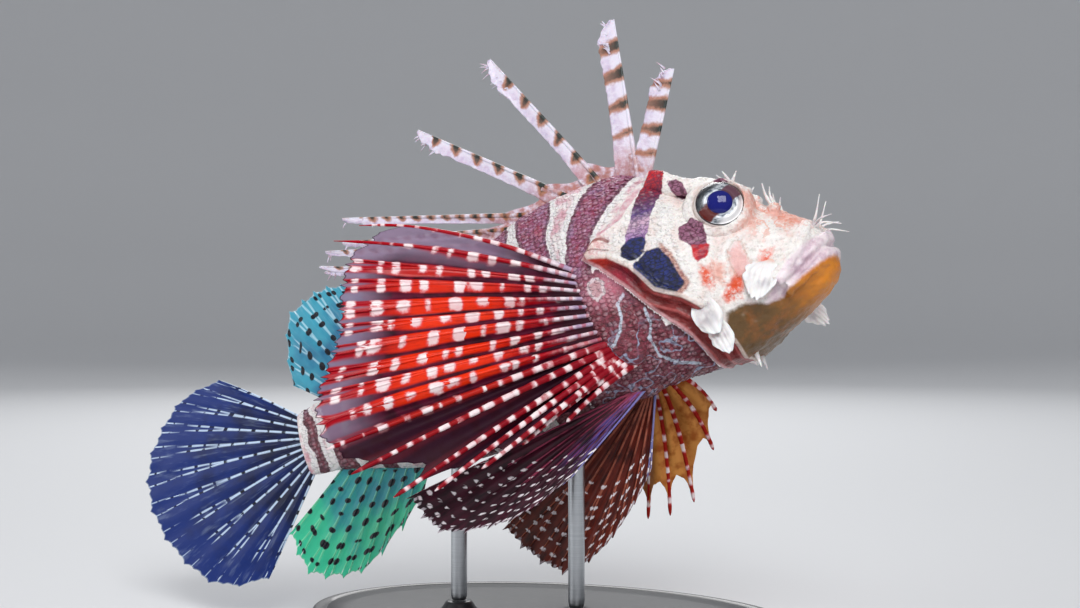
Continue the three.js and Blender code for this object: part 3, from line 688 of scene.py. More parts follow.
def remeshed(shape: Shape, voxel: float) -> tuple[Array, Array]:
    """Fuse overlapping closed forms into one skin.

    Args:
        shape: The forms.
        voxel: The size of the new faces, in millimetres.

    Returns:
        The skin's points and its four-sided faces.
    """
    draft = bpy.data.objects.new("draft", bpy.data.meshes.new("draft"))
    draft.data.from_pydata(shape.joined().tolist(), [], shape.face_rows())
    bpy.context.scene.collection.objects.link(draft)
    fuse = draft.modifiers.new("fuse", "REMESH")
    fuse.mode = "VOXEL"
    fuse.voxel_size = voxel
    fused = draft.evaluated_get(bpy.context.evaluated_depsgraph_get()).to_mesh()
    points = np.empty(len(fused.vertices) * 3, np.float32)
    fused.vertices.foreach_get("co", points)
    corners = np.empty(len(fused.loops), np.int32)
    fused.loops.foreach_get("vertex_index", corners)
    bpy.data.objects.remove(draft)
    return points.reshape(-1, 3).astype(float), corners.reshape(-1, 4)


def smoothed(points: Array, quads: Array, passes: int, strength: float = 0.5) -> Array:
    """Points eased towards the middle of their neighbours, a number of times.

    Args:
        points: The skin's points.
        quads: The skin's faces.
        passes: How often they are eased.
        strength: The share of the way that each pass goes.

    Returns:
        The eased points.
    """
    count = len(points)
    here, there = np.concatenate([quads[:, [k, (k + 1) % 4]] for k in range(4)]).T
    degree = np.bincount(here, minlength=count) + np.bincount(there, minlength=count)
    for _ in range(passes):
        total = np.stack([np.bincount(here, column[there], count) + np.bincount(there, column[here], count)
                          for column in points.T], axis=1)
        points = points + strength * (total / degree[:, None] - points)
    return points


def normals_of(points: Array, quads: Array) -> Array:
    """The outward normal at each point of a skin.

    Args:
        points: The skin's points.
        quads: The skin's faces.

    Returns:
        A unit vector for each point.
    """
    a, b, c, d = (points[quads[:, k]] for k in range(4))
    face = np.cross(c - a, d - b)
    total = np.stack([sum(np.bincount(quads[:, k], face[:, axis], len(points)) for k in range(4))
                      for axis in range(3)], axis=1)
    return unit(total)


@dataclass
class Skin:
    """The fish's whole skin: head, jaws, gill covers, trunk, fleshy fin bases and tail stalk."""

    pose: Pose
    voxel: float = 0.46
    cover_lift: float = 1.3
    cover_tip: tuple = (21.6, 5.2)
    cheek_ridge: tuple = ((59, -4.2), (52, -5.4), (46, -7.4), (41.5, -9.5))
    fin_base: tuple = (19.6, 12.6, -11.8)
    fin_base_radii: tuple = (6.6, 4.6, 13.8)
    fin_base_turn: float = -15
    belly_base: tuple = (18.5, 0, -27.2)
    belly_base_radii: tuple = (8, 6.4, 3.6)
    lip: tuple = ((59.6, 9.8, -19), (65.2, 8.0, -15.6), (69.2, 4.9, -12.8), (70.9, 0, -11.6))
    lip_radius: float = 2.0
    lip_rise: float = 1.9
    underbite: float = 0.2
    upper_jaw: tuple = ((68.6, 5.4, -5.8), (66.4, 7.6, -9.4), (62.2, 9.4, -14.4), (58.6, 10.4, -18.4))
    brow: tuple = ((58.5, 4.6, 5.4), (52, 6.4, 9.6), (44, 7, 12.4), (37, 6.4, 17))
    nostril: tuple = (62.4, 4.4, 0.0)
    nostril_radii: tuple = (1.8, 1.4, 1.2)
    nostril_pit: tuple = (60.2, 0.6)
    eye_hump: tuple = (50.8, 6.6, 2.9)
    eye_hump_radii: tuple = (8.4, 6.6, 7.9)
    socket: float = 6.0
    socket_floor: float = -1.5
    lid_radius: float = 6.6
    lid_rise: float = 0.9

    def forms(self) -> Shape:
        """The closed forms that the skin is drawn over.

        Returns:
            One shape that holds them all.
        """
        shape = Shape().rings(BODY_FORM.rings(150, 112))
        for side in Side:
            self.add_face(shape, side)
            shape.lump(self.fin_base * side.mirror(), self.fin_base_radii, self.fin_base_turn)
        shape.lump(self.belly_base, self.belly_base_radii)
        self.add_lip(shape, self.lip_rise, 0.0)
        self.add_lip(shape, -self.lip_rise, self.underbite)
        return shape

    def add_face(self, shape: Shape, side: Side) -> None:
        """Add one side's eye hump, lid, brow, upper jaw, nostril rim and the gill cover's rim.

        Args:
            shape: The forms so far.
            side: The side of the head.
        """
        mirror = side.mirror()
        shape.lump(self.eye_hump * mirror, self.eye_hump_radii)
        shape.lump(self.nostril * mirror, self.nostril_radii)
        axis = unit(EYE_AXIS * mirror)
        across = unit(np.cross(axis, (0, 0, 1)))
        above = np.cross(across, axis)
        turn = np.linspace(0, 2 * np.pi, 73)[:, None]
        circle = across * np.cos(turn) + above * np.sin(turn)
        lid = EYE_AT * mirror + axis * self.lid_rise + self.lid_radius * circle
        shape.tube(lid, 0.75 + 0.2 * np.sin(turn[:, 0] * 2 + 1), 12, across=axis)
        shape.tube(spline(self.brow, 24) * mirror, np.linspace(1.5, 1.9, 25), 10)
        shape.tube(spline(self.upper_jaw, 20) * mirror, np.linspace(1.3, 3.0, 21), 14)
        x, z = spline(COVER_EDGE[COVER_RIM], 48).T
        out = BODY_FORM.side_y(x, z) + self.cover_lift * 0.62
        shape.tube(np.column_stack([x, side.value * out, z]), 0.75, 8)

    def add_lip(self, shape: Shape, rise: float, forward: float) -> None:
        """Add the rolled lip above or below the gape.

        Args:
            shape: The forms so far.
            rise: How far it lies above the gape.
            forward: How far it juts out in front.
        """
        corner, cheek, front, middle = np.array(self.lip)
        half = np.array([corner, cheek, front + (forward, 0, 0)])
        path = np.vstack([half * Side.RIGHT.mirror(), [middle + (forward, 0, 0)], half[::-1]]) + (0, 0, rise)
        share = np.linspace(0, 1, 61)
        girth = self.lip_radius * (0.7 + 0.3 * np.sin(np.pi * share))
        shape.tube(spline(path, 60), girth, 14, across=(0, 0, 1))

    def relief(self, points: Array, normals: Array) -> Array:
        """How far each point of the skin is raised, in millimetres.

        Args:
            points: The smooth skin's points.
            normals: The smooth skin's normals.

        Returns:
            A height for each point.
        """
        x, y, z = points.T
        side = points[:, [0, 2]]
        facing = ease(0.1, 0.5, np.abs(normals[:, 1]))
        lift = self.cover_lift * np.interp(x, (40, 56, 70), (1, 0.4, 0))
        cover = patch_depth(side, COVER_EDGE)
        membrane = patch_depth(side, MEMBRANE_EDGE)
        upper = ease(2.5, 7, z)
        rise = facing * lift * ease(-0.3, 0.35, cover / (1 + 6 * upper))
        rise += facing * 0.7 * ease(-0.5, 0.3, membrane) * ease(3.0, -1.0, cover)
        fold = np.sin(2 * np.pi * -cover / 2.5) * ease(-0.6, -1.6, cover) * ease(-0.5, 0.6, membrane)
        rise += 0.36 * fold * facing * ease(-3, -9, z)
        gape = path_distance(side, GAPE)
        rise -= 1.2 * bump(gape, 0.5) * ease(56, 60, x)
        for groove, deep, wide in FACE_GROOVES:
            rise -= deep * bump(path_distance(side, groove), wide) * ease(0, 0.3, np.abs(normals[:, 1]))
        ridge = path_distance(side, self.cheek_ridge)
        rise += 0.5 * bump(ridge, 1.0) * facing * (0.6 + 0.4 * np.sin(x * 1.9))
        tip = np.linalg.norm(side - self.cover_tip, axis=1)
        rise += 1.1 * bump(tip, 3.2) * facing
        rise -= bump(y, 3.2) * ease(42, 46, x) * ease(60, 56, x) * ease(0, 4, z)
        head = ease(8, 30, x)
        rise += (0.16 * noise(points, 1.7, 1) + 0.22 * noise(points, 3.6, 2)) * (0.25 + 0.75 * head)
        wrinkled = points * (1, 1, 2.2)
        rise += (0.2 * noise(wrinkled, 1.1, 3) + 0.14 * noise(wrinkled, 2.0, 4)) * head
        pit = np.linalg.norm(side - self.nostril_pit, axis=1)
        return rise - 0.7 * bump(pit, 0.7) * facing

    def hollowed(self, points: Array) -> Array:
        """The points with the eye sockets pressed in behind the eyeballs.

        Args:
            points: The skin's points.

        Returns:
            The pressed points.
        """
        for side in Side:
            axis = unit(EYE_AXIS * side.mirror())
            reach = points - EYE_AT * side.mirror()
            height = reach @ axis
            radius = np.linalg.norm(reach - height[:, None] * axis, axis=1)
            floor = self.socket_floor + 9 * ease(self.socket - 0.5, self.socket + 0.6, radius)
            sink = np.where(height > self.socket_floor, np.minimum(0, floor - height), 0)
            points = points + sink[:, None] * axis
        return points

    def build(self) -> list[Piece]:
        """Make the skin, with the depths of its markings as fields, and its scales.

        Returns:
            The two coats of scales, and the skin.
        """
        points, quads = remeshed(self.forms(), self.voxel)
        points = smoothed(points, quads, 3)
        normals = normals_of(points, quads)
        points = self.hollowed(points + normals * self.relief(points, normals)[:, None])
        points = smoothed(points, quads, 1, 0.35)
        scales = [ScaleCoat(self.pose).build(points, quads, half) for half in Side]
        shape = Shape().add(points, [quads], **Markings().fields(points))
        nodes = ("head", "lower_jaw", "torso", "tail_stalk")
        return [*scales, shape.piece("skin", self.pose, SkinFinish().material(), Slot.SKIN, nodes)]


@dataclass
class ScaleCoat:
    """Overlapping scales in staggered rows on the trunk, nape and hind cheek, one small closed plate each."""

    pose: Pose
    row_gap: float = 1.18
    across_gap: float = 1.12
    length: float = 1.9
    width: float = 1.36
    ring: int = 7
    rearward: tuple = (-1.0, 0, -0.12)

    def roots(self) -> tuple[Array, Array]:
        """Where the scales grow.

        Returns:
            Places near the skin in staggered rows, and each one's place on an unwrap of the body.
        """
        rings = BODY_FORM.rings(400, 241)
        stations = rings[:, 0, 0]
        places, flat = [], []
        for row, x in enumerate(np.arange(-69.5, 41.5, self.row_gap)):
            loop = rings[np.argmin(np.abs(stations - x))]
            lengths = np.concatenate([[0], np.cumsum(np.linalg.norm(np.diff(loop, axis=0), axis=1))])
            count = int(lengths[-1] / self.across_gap)
            at = (np.arange(count) + 0.5 * (row % 2)) / count * lengths[-1]
            places.append(np.column_stack([np.interp(at, lengths, loop[:, k]) for k in range(3)]))
            flat.append(np.column_stack([at / lengths[-1], np.full(count, (x + 72) / 150)]))
        return np.concatenate(places), np.concatenate(flat)

    def plate(self) -> tuple[Array, Array, list[Array]]:
        """One scale in its own frame: backward, across and outward.

        Returns:
            Its points, each point's share of the way to the margin, and its faces.
        """
        angle = np.linspace(0, 2 * np.pi, self.ring, endpoint=False)
        oval = np.column_stack([np.cos(angle), np.sin(angle) * (1 - 0.12 * np.cos(angle))])
        loops = ((0.0, 0.05), (0.62, 0.04), (1.0, 0.0), (0.9, -0.12), (0.0, -0.2))
        points, rim = [], []
        for share, height in loops:
            ring = oval * share * (self.length / 2, self.width / 2)
            lift = height + 0.1 * ring[:, 0]
            block = np.column_stack([ring[:, 0] + 0.3, ring[:, 1], lift])
            points.append(block[:1] if share == 0 else block)
            rim.append(np.full(len(points[-1]), share))
        n = self.ring
        after = (np.arange(n) + 1) % n
        here = np.arange(n)
        top = np.column_stack([np.zeros(n, int), 1 + here, 1 + after])
        bands = [np.column_stack([s + here, s + n + here, s + n + after, s + after]) for s in (1, 1 + n)]
        end = 1 + 3 * n
        under = np.column_stack([np.full(n, end), 1 + 2 * n + after, 1 + 2 * n + here])
        return np.concatenate(points), np.concatenate(rim), [top, *bands, under]

    def build(self, points: Array, quads: Array, half: Side) -> Piece:
        """Lay the scales on one side of the skin.

        Args:
            points: The skin's points.
            quads: The skin's faces.
            half: The side.

        Returns:
            That side's coat as one object.
        """
        tree = BVHTree.FromPolygons(points.tolist(), quads.tolist())
        places, flat = self.roots()
        found = [tree.find_nearest(place) for place in places.tolist()]
        root = np.array([hit[0] for hit in found])
        normal = unit(np.array([hit[1] for hit in found]))
        zones = Markings().fields(root)
        cover, membrane, _ = zones["zones"].T
        blue = zones["bars"][:, 2]
        x, y, z = root.T
        trunk = (cover < -0.4) & (membrane < -0.8)
        cheek = (cover > 1.2) & (x < 41) & (z > -9) & (blue < -0.2)
        under_spines = (np.abs(y) < 2.2) & (z > 14) & (x > -4)
        keep = (trunk | cheek) & (y * half.value > 0) & ~under_spines
        root, normal, flat, cheek = root[keep], normal[keep], flat[keep], cheek[keep]
        rng = np.random.default_rng(SEED + 77)
        count = len(root)
        back = unit(self.rearward - normal * (normal @ self.rearward)[:, None])
        side = np.cross(normal, back)
        root = root + 0.14 * (back * rng.normal(0, 1, (count, 1)) + side * rng.normal(0, 1, (count, 1)))
        turn = rng.normal(0, 0.16, count)[:, None]
        back, side = back * np.cos(turn) + side * np.sin(turn), side * np.cos(turn) - back * np.sin(turn)
        size = (rng.uniform(0.82, 1.18, count) * np.where(cheek, 0.85, 1))[:, None, None]
        plate, rim, faces = self.plate()
        local = plate[None] * size
        spread = root[:, None] + local[..., :1] * back[:, None] + local[..., 1:2] * side[:, None]
        spread = (spread + local[..., 2:] * normal[:, None]).reshape(-1, 3)
        step = (np.arange(count) * len(plate))[:, None, None]
        blocks = [(block[None] + step).reshape(-1, block.shape[1]) for block in faces]
        tone = np.repeat(rng.uniform(0, 1, count), len(plate))
        raised = np.tile(np.where(plate[:, 2] > -0.1, 1.0, 0.0) * (1 - rim), count)
        margin = np.tile(ease(0.66, 1.0, rim), count)
        fields = Markings().fields(spread)
        shape = Shape().add(spread, blocks, plate=np.column_stack([margin, tone, raised]), **fields)
        piece = shape.piece(f"scales_{half.name.lower()}", self.pose, SkinFinish().material(), Slot.SKIN)
        self.unwrap(piece, flat, plate)
        return piece

    def unwrap(self, piece: Piece, flat: Array, plate: Array) -> None:
        """Give each scale a small patch at its root's place on the unwrap of the body.

        Args:
            piece: The coat.
            flat: Each scale's place on the unwrap, from 0 to 1.
            plate: One scale's points in its own frame.
        """
        patch = plate[:, :2] / self.length * 0.003
        spots = np.clip((flat[:, None] + patch[None]).reshape(-1, 2), 0, 1)
        corners = np.empty(len(piece.data.loops), np.int32)
        piece.data.loops.foreach_get("vertex_index", corners)
        layer = piece.data.uv_layers.new(name="OFBake")
        layer.data.foreach_set("uv", spots[corners].astype(np.float32).ravel())


COVER_CREASE = ((19.6, 3.4), (20.2, 4.6), (21.8, 5.6), (23.6, 5.5), (25, 4.2))
FACE_GROOVES = (
    (((70, -18.5), (62, -22.6), (55, -26)), 0.35, 0.6),
    (((47.5, -8), (46, -13), (47, -18), (51, -23)), 0.4, 0.9),
    (((70.6, -4.6), (67.6, -7.6), (64.6, -11.2), (61, -14), (57, -15.2)), 0.55, 0.45),
    (((72.4, -7.4), (69.6, -10), (66.4, -13.2), (62.4, -16.4)), 0.5, 0.4),
    (((73, -15.6), (69, -18.4), (64, -20.6), (60, -21.6)), 0.4, 0.5),
    (((52.4, -5.3), (53.8, -6), (54.8, -9), (55.2, -12), (53.6, -14.8), (51, -14.4), (50, -10.7),
      (50.6, -7.4), (52.4, -5.3)), 0.3, 0.35),
    (COVER_CREASE, 0.5, 0.45))


@dataclass(frozen=True)
class Markings:
    """The bars and blotches of the skin, as outlines and paths of the side view."""

    nape_bar: tuple = ((29, 22.5), (25.2, 18.2), (21.4, 14.3), (18.2, 9.4), (16.4, 3.5), (15.6, -3))
    body_bars: tuple = (3.2, -9.5, -21.5, -34.3, -46.5, -60.5, -68.4)
    body_halves: tuple = (4.9, 4.5, 4.3, 4.2, 3.5, 2.7, 1.5)
    cheek_bar: tuple = ((39.4, 19.5), (37.8, 14.4), (35.6, 11), (34.2, 8.2), (32.8, 4.4), (31.6, 2.4))
    blue_patches: tuple = (((30.8, 2.9), (27.7, 1.6), (27.6, -0.8), (29.6, -3), (32.4, -1.6), (34, 0.8),
                            (33.4, 2.4)),
                           ((30.2, -3.4), (33, -1.4), (36.4, -1.6), (38, -4.6), (38.6, -8), (39.4, -11.6),
                            (37.2, -13.4), (33.6, -11.8), (31, -8.8), (29.4, -5.8)))
    eye_patch: tuple = ((44.8, 3.2), (47.2, 1), (46.6, -4.4), (43.7, -4.4), (41.1, -1.2), (41.3, 1.6))
    red_patch: tuple = ((43.2, -3.4), (47.3, -4.4), (46.2, -7), (43.9, -8), (42.9, -6.4))
    orange_patches: tuple = (((43.8, -8.6), (45.8, -9.8), (46.4, -13.7), (45.1, -15.6), (43, -13.4)),
                             ((51, -12.8), (52.6, -14.6), (50.4, -19), (47.2, -19), (46.2, -17)),
                             ((57.6, -9.4), (60.6, -9.8), (58.8, -13), (56, -12.6)))
    blush_patches: tuple = (((59, 1), (65.2, 0.2), (69.5, -4.1), (68.2, -6.6), (62.6, -4.2)),
                            ((50.4, -7.6), (53.4, -5.8), (54.8, -10.2), (54.6, -13.4), (51.8, -16),
                             (50, -13.5)),
                            ((46.4, -8), (49.4, -10), (48, -15.6), (45.4, -12.9)),
                            ((30.5, 17.6), (33, 17), (27.4, 9.6), (24.6, 9.8)),
                            ((18, 7.6), (23.4, 8.2), (24.6, 3.4), (18.6, 1.6)),
                            ((56, 8), (60, 4), (58, -3), (52, -4), (57, 0)))
    chin: tuple = ((74, -14.4), (70, -15.6), (66.6, -17.2), (62.5, -19.2), (58.6, -21), (54.9, -21.4),
                   (50.3, -20), (46, -21), (42, -29), (40, -40), (80, -40))
    maroon_patches: tuple = (((52.2, 11), (53.9, 10.9), (55.4, 8.8), (54.6, 6.8), (53.1, 7.5), (52.1, 9)),
                             ((41.4, 14.3), (43.7, 14.2), (44.9, 12.4), (45, 9.8), (43.2, 9.3), (42, 11)))
    white_lines: tuple = (((24.6, -8.8), (22.8, -10.9), (23.1, -14.3), (22, -17.1), (19.7, -19.3),
                           (16.5, -20.5)),
                          ((28.6, -13.6), (28.8, -17), (27.1, -20.3), (27.4, -24.4), (31, -27), (35, -28.5)))
    root_blotch: tuple = ((17.4, -3.6), (19.8, -3), (21.2, -4.6), (20.8, -7.4), (18.8, -8.6), (17.2, -6.8))
    cheek_oval: tuple = ((52.4, -5.3), (53.8, -6), (54.3, -9.1), (54.8, -11.7), (53.2, -14.4), (51, -14.1),
                         (50.3, -10.7), (50.4, -7.7))

    def fields(self, points: Array) -> dict[str, Array]:
        """The depth inside each kind of marking, in millimetres, at each point of the skin.

        Args:
            points: Places on the level fish.

        Returns:
            Fields by name, with three depths in each.
        """
        x, y, z = points.T
        lean = (z + 8) * 0.10 * np.interp(x, (-60, 0), (0.2, 1))
        wave = 0.9 * noise(points, 7.0, 11) + 0.5 * noise(points, 3.0, 12)
        side = np.column_stack([x + 0.3 * wave, z])
        wild = np.interp(x, (-62, -46), (2.3, 1))
        bars = [half * (1 + 0.12 * np.sin(z * 0.4 + k)) - np.abs(x - lean - at + wave * wild)
                for k, (at, half) in enumerate(zip(self.body_bars, self.body_halves))]
        split = 1.4 * ease(-12, -24, z) * (1 + np.sin(x * 0.9))
        body = np.max(bars, axis=0) - split * (x > -58)
        nape = np.interp(z, (0, 8, 16, 24), (3.2, 3.4, 4.2, 5.0)) - path_distance(side, self.nape_bar)
        maroon = np.maximum(body, nape)
        chest = np.minimum.reduce([31.5 - x, x - 7, -z - 1 - 0.6 * np.maximum(0, 20 - x)])
        chest = np.maximum(chest, np.minimum.reduce([44 - x, x - 9, -z - 19]))
        behind = -patch_depth(side, MEMBRANE_EDGE)
        maroon = np.where(behind > 0, np.maximum(maroon, np.minimum(chest, behind)), -2.0)
        cheek = np.interp(z, (2, 8, 18), (2.3, 2.5, 2.7)) - path_distance(side, self.cheek_bar)
        blue, orange, blush = (np.max([patch_depth(side, patch) for patch in patches], axis=0)
                               for patches in (self.blue_patches, self.orange_patches, self.blush_patches))
        off_crown = np.where(np.abs(y) > 3, side.T, -99.0).T
        patches = np.max([patch_depth(off_crown, patch) for patch in self.maroon_patches], axis=0)
        line = 0.34 - np.min([path_distance(side, path) for path in self.white_lines], axis=0)
        blotch = patch_depth(side, self.root_blotch)
        crease = 0.5 - path_distance(side, COVER_CREASE)
        lips = 2.4 - path_distance(side, GAPE) + ease(58, 62, x)
        cover, eye, red, oval, chin = (patch_depth(side, outline) for outline in (
            COVER_EDGE, self.eye_patch, self.red_patch, self.cheek_oval, self.chin))
        fields = {"bars": (maroon, cheek, blue), "spots": (eye, red, orange), "zones": (cover, -behind, chin),
                  "touches": (blush, line, blotch), "lines": (oval, crease, patches),
                  "edges": (lips, chest, 0 * x)}
        return {name: np.column_stack(values) for name, values in fields.items()}


@dataclass(frozen=True)
class SkinFinish:
    """Damp scaly skin: cream and pink, with maroon bars and dark blue, red and orange blotches."""

    name: str = "fish skin"
    cream: Colour = 0xFBF6F2
    pinkish: Colour = 0xE8AEA4
    maroon: Colour = 0x7E2846
    # Lilac of the painted sheen on the maroon bars.
    lilac: Colour = 0xD4B0CE
    wine: Colour = 0x320A1A
    navy: Colour = 0x16205C
    ink: Colour = 0x070B26
    scarlet: Colour = 0xD0101C
    orange: Colour = 0xE8501E
    chin: Colour = 0xD88210
    throat: Colour = 0x634414
    cover_knob: tuple = (21.8, 4.6)
    gill_corner: tuple = (24.5, -6.0)
    fin_root: tuple = (20.5, -6.5)

    def material(self) -> Material:
        """Work out the look.

        Returns:
            The finished material.
        """
        kit = Finish(self.name)
        fish = kit.vector("fish")
        x, y, z = kit.parts(fish)
        cover, membrane, chin = kit.fields("zones")
        ragged = (kit.clouds(fish, 1.3, 3, 0.6) - 0.5) * 1.6
        mottle = kit.clouds(fish, 3.5, 4, 0.6)
        grain = kit.clouds(fish, 0.7, 3, 0.65)
        wrinkle = kit.clouds(kit.join(x, y * 1.2, z * 2.6), 1.5, 4, 0.7)
        body = self.trunk(kit, fish, z, ragged, mottle, wrinkle)
        gill = self.gill(kit, fish, z, cover, membrane)
        below = 1 - (z + ragged).step(5.5, 2.0)
        body = kit.mix((membrane + ragged * 0.2).step(0.0, 0.3) * below, body, gill)
        face = self.face(kit, fish, ragged, mottle, grain, wrinkle)
        colour = kit.mix(cover.step(0.05, 0.4), body, face)
        rim = cover.step(-0.15, 0.4) * (1 - cover.step(0.8, 0.5))
        colour = kit.mix(rim * 0.6 * (1 - z.step(3.5, 3.0)), colour, 0xF8E4DA)
        margin, tone, raised = kit.fields("plate")
        barred = kit.fields("bars")[0].step(0, 0.5)
        colour = kit.mix(margin * (barred * 0.25 + 0.15), colour, kit.mix(barred, 0xA89498, 0x3A1420))
        colour = kit.mix(raised * tone * 0.35, colour, 0xF0DCE4)
        scales = kit.cells(fish, 1.1)
        smooth = chin.step(0.1, 1.1).most(kit.fields("edges")[0].step(0.2, 0.9)) * cover.step(0.05, 0.4)
        relief = (scales * -0.4 + grain * 0.8 + wrinkle * 0.9) * (1 - smooth * 0.6)
        return kit.surface(colour, 0.36 + grain * 0.2, relief, 0.46, Coat_Weight=0.22, Coat_Roughness=0.15,
                           Subsurface_Weight=0.06, Subsurface_Scale=0.0015)

    def trunk(self, kit: Finish, fish: Socket, z: Socket, ragged: Socket, mottle: Socket,
              wrinkle: Socket) -> Socket:
        """The trunk's colour: maroon bars on pink and cream, and the veined dark chest.

        Args:
            kit: The finish that takes the nodes.
            fish: Places on the level fish.
            z: The height of those places.
            ragged: Fine noise that roughens edges, in millimetres.
            mottle: Cloudy noise, for changes of hue.
            wrinkle: Stretched noise, for wrinkles.

        Returns:
            The colour.
        """
        maroon = kit.fields("bars")[0]
        _, line, blotch = kit.fields("touches")
        chest = kit.fields("edges")[1]
        weave = wrinkle * 0.6 + kit.clouds(fish, 0.8, 3, 0.7) * 0.4
        # This ramp follows the wrinkles that also raise the skin: partly the bars' own maroon, partly painted
        # shade in the hollows (dark wine) and painted lilac sheen on the crests.
        bar = kit.ramp(weave, ((0.3, 0x3E0E24), (0.43, self.maroon), (0.54, 0xA6587E), (0.66, self.lilac)))
        bar = kit.mix(mottle.step(0.6, 0.15) * 0.55, bar, 0xB02444)
        # Lilac patches over the bars: painted sheen.
        bar = kit.mix((1 - mottle.step(0.42, 0.12)) * 0.45, bar, 0xB294BC)
        # Darker, browner red low on the flank: partly the fish's own colour, partly painted shade on its
        # underside.
        bar = kit.mix((1 - z.step(-2, 18)) * 0.8, bar, kit.mix(weave.step(0.5, 0.3), 0x3C0A10, 0x8A2026))
        edge = maroon + ragged
        rim = edge.step(-0.1, 0.5) * (1 - edge.step(0.9, 0.8))
        bar = kit.mix(rim * 0.55, bar, self.wine)
        pale = kit.mix(mottle.step(0.5, 0.3), 0xDDA3B0, self.cream)
        outline = (1 - edge.step(0.0, 0.4)) * edge.step(-1.6, 0.9)
        pale = kit.mix(outline, pale, 0xFBF6F4)
        # Grey-mauve painted shade along the crinkles of the pale bands.
        pale = kit.mix(wrinkle.step(0.6, 0.15) * 0.3, pale, 0xA58FA0)
        colour = kit.mix(edge.step(0.0, 0.35), pale, bar)
        vein = kit.clouds(fish, 6.0, 2) + ragged * 0.03
        vein = 1 - ((vein - 0.5).size()).step(0.018, 0.02)
        low = (1 - z.step(-17, 6)) * chest.step(0, 1)
        colour = kit.mix(vein * low * mottle.step(0.44, 0.2) * 0.85, colour, 0x9CA8C4)
        colour = kit.mix((line + ragged * 0.5).step(0, 0.3), colour, 0xC4CCDC)
        spot = blotch + ragged * 0.9
        colour = kit.mix(spot.step(-0.2, 0.5) * 0.85, colour, 0xEEDCE0)
        colour = kit.mix(spot.step(0.6, 0.5), colour, 0xC99AA0)
        bloom = 1 - (fish_distance(kit, fish, self.fin_root) + ragged) / 6.5
        return kit.mix(bloom.step(0.35, 0.7) * 0.6 * (1 - spot.step(-0.3, 0.3)), colour, 0xD98296)

    def gill(self, kit: Finish, fish: Socket, z: Socket, cover: Socket, membrane: Socket) -> Socket:
        """The gill membrane's colour: orange-red above, deep red, then red folds with painted highlights on
        their ridges and painted shade between them.

        Args:
            kit: The finish that takes the nodes.
            fish: Places on the level fish.
            z: The height of those places.
            cover: The depth inside the gill cover's outline.
            membrane: The depth inside the gill membrane's outline.

        Returns:
            The colour.
        """
        haze = kit.clouds(fish, 2.6, 3)
        colour = kit.mix(haze.step(0.5, 0.4), 0x8E0C14, 0x4A060C)
        colour = kit.mix((z + haze * 3).step(0.5, 4), colour, 0xC8280E)
        hot = 1 - fish_distance(kit, fish, self.gill_corner) / 5.0
        colour = kit.mix(hot.step(0.3, 0.8) * 0.4, colour, 0xC8204A)
        # The folds follow the ridges of the relief: their crests are painted pale as highlights and their
        # troughs dark as painted shade.
        fold = (cover * (2 * math.pi / 2.5)).math("SINE")
        fold_light_and_shade = kit.mix(fold.step(-0.75, 0.8), 0xB4504E, 0x7A1212)
        colour = kit.mix((1 - (z - haze * 2).step(-11, 4)) * 0.85, colour, fold_light_and_shade)
        return kit.mix(membrane.step(0.7, 0.8), 0xD9A2A6, colour)

    def face(self, kit: Finish, fish: Socket, ragged: Socket, mottle: Socket, grain: Socket,
             wrinkle: Socket) -> Socket:
        """The head's colour, with its bar, blotches, lips and orange chin.

        Args:
            kit: The finish that takes the nodes.
            fish: Places on the level fish.
            ragged: Fine noise that roughens edges, in millimetres.
            mottle: Cloudy noise, for changes of hue.
            grain: Fine noise, for speckles.
            wrinkle: Stretched noise, for wrinkles.

        Returns:
            The colour.
        """
        x, y, z = kit.parts(fish)
        _, cheek, blue = kit.fields("bars")
        chin = kit.fields("zones")[2]
        eye, red, orange = kit.fields("spots")
        oval, crease, patch = kit.fields("lines")
        blush = kit.fields("touches")[0]
        lips = kit.fields("edges")[0]
        pale = kit.mix(mottle.step(0.58, 0.3) * 0.4, self.cream, self.pinkish)
        # Grey-tan painted shade along the crinkles of the pale face.
        pale = kit.mix((wrinkle * 0.5 + grain * 0.5).step(0.56, 0.12) * 0.4, pale, 0xAFA49C)
        vein = 1 - (kit.clouds(fish, 5.0, 4, 0.6) - 0.5).size().step(0.03, 0.04)
        pale = kit.mix(vein * x.step(57, 6) * z.step(-7, 6) * 0.6, pale, 0xEE8A66)
        bar = kit.ramp((z + ragged * 1.6) / 22, (
            (0.1, 0x9A6CB0), (0.27, 0xDCB4CC), (0.38, 0x6A4A8C), (0.5, 0x6E3058),
            (0.62, 0x962038), (0.78, self.scarlet)))
        outlines = kit.cells(kit.join(x + grain, y, z * 1.6 + ragged * 0.4), 1.35, "DISTANCE_TO_EDGE")
        outlines = outlines + (grain - 0.5) * 0.2
        bar = kit.mix((1 - outlines.step(0.1, 0.16)) * 0.55, bar, 0x1E1440)
        face = kit.mix((cheek + ragged * 0.7).step(0, 0.35), pale, bar)
        navy = kit.mix(mottle.step(0.5, 0.3), self.navy, 0x1E308A)
        dark = kit.mix(outlines.step(0.1, 0.2) * 0.7, self.ink, navy)
        fringe = (blue + 1.1 + ragged * 0.6).step(0, 0.8) * x.step(36.5, 1.5)
        face = kit.mix(fringe * 0.85, face, kit.mix(wrinkle.step(0.5, 0.2), 0x8A2A1E, 0xD9A08C))
        face = kit.mix((blue + ragged * 0.35).step(0, 0.45), face, dark)
        face = kit.mix((blush + ragged + (grain - 0.5) * 3).step(0.3, 2.2) * 0.65, face, 0xEE8C70)
        speckle = (mottle * 0.6 + grain * 0.4).step(0.45, 0.22)
        face = kit.mix((orange + ragged).step(0.2, 1.6) * speckle, face, self.orange)
        scaly = kit.mix(outlines.step(0.08, 0.26), 0x4E142E, kit.mix(grain, 0x7E3A58, 0xB07A98))
        face = kit.mix((eye.most(patch) + ragged * 0.5).step(0, 0.35), face, scaly)
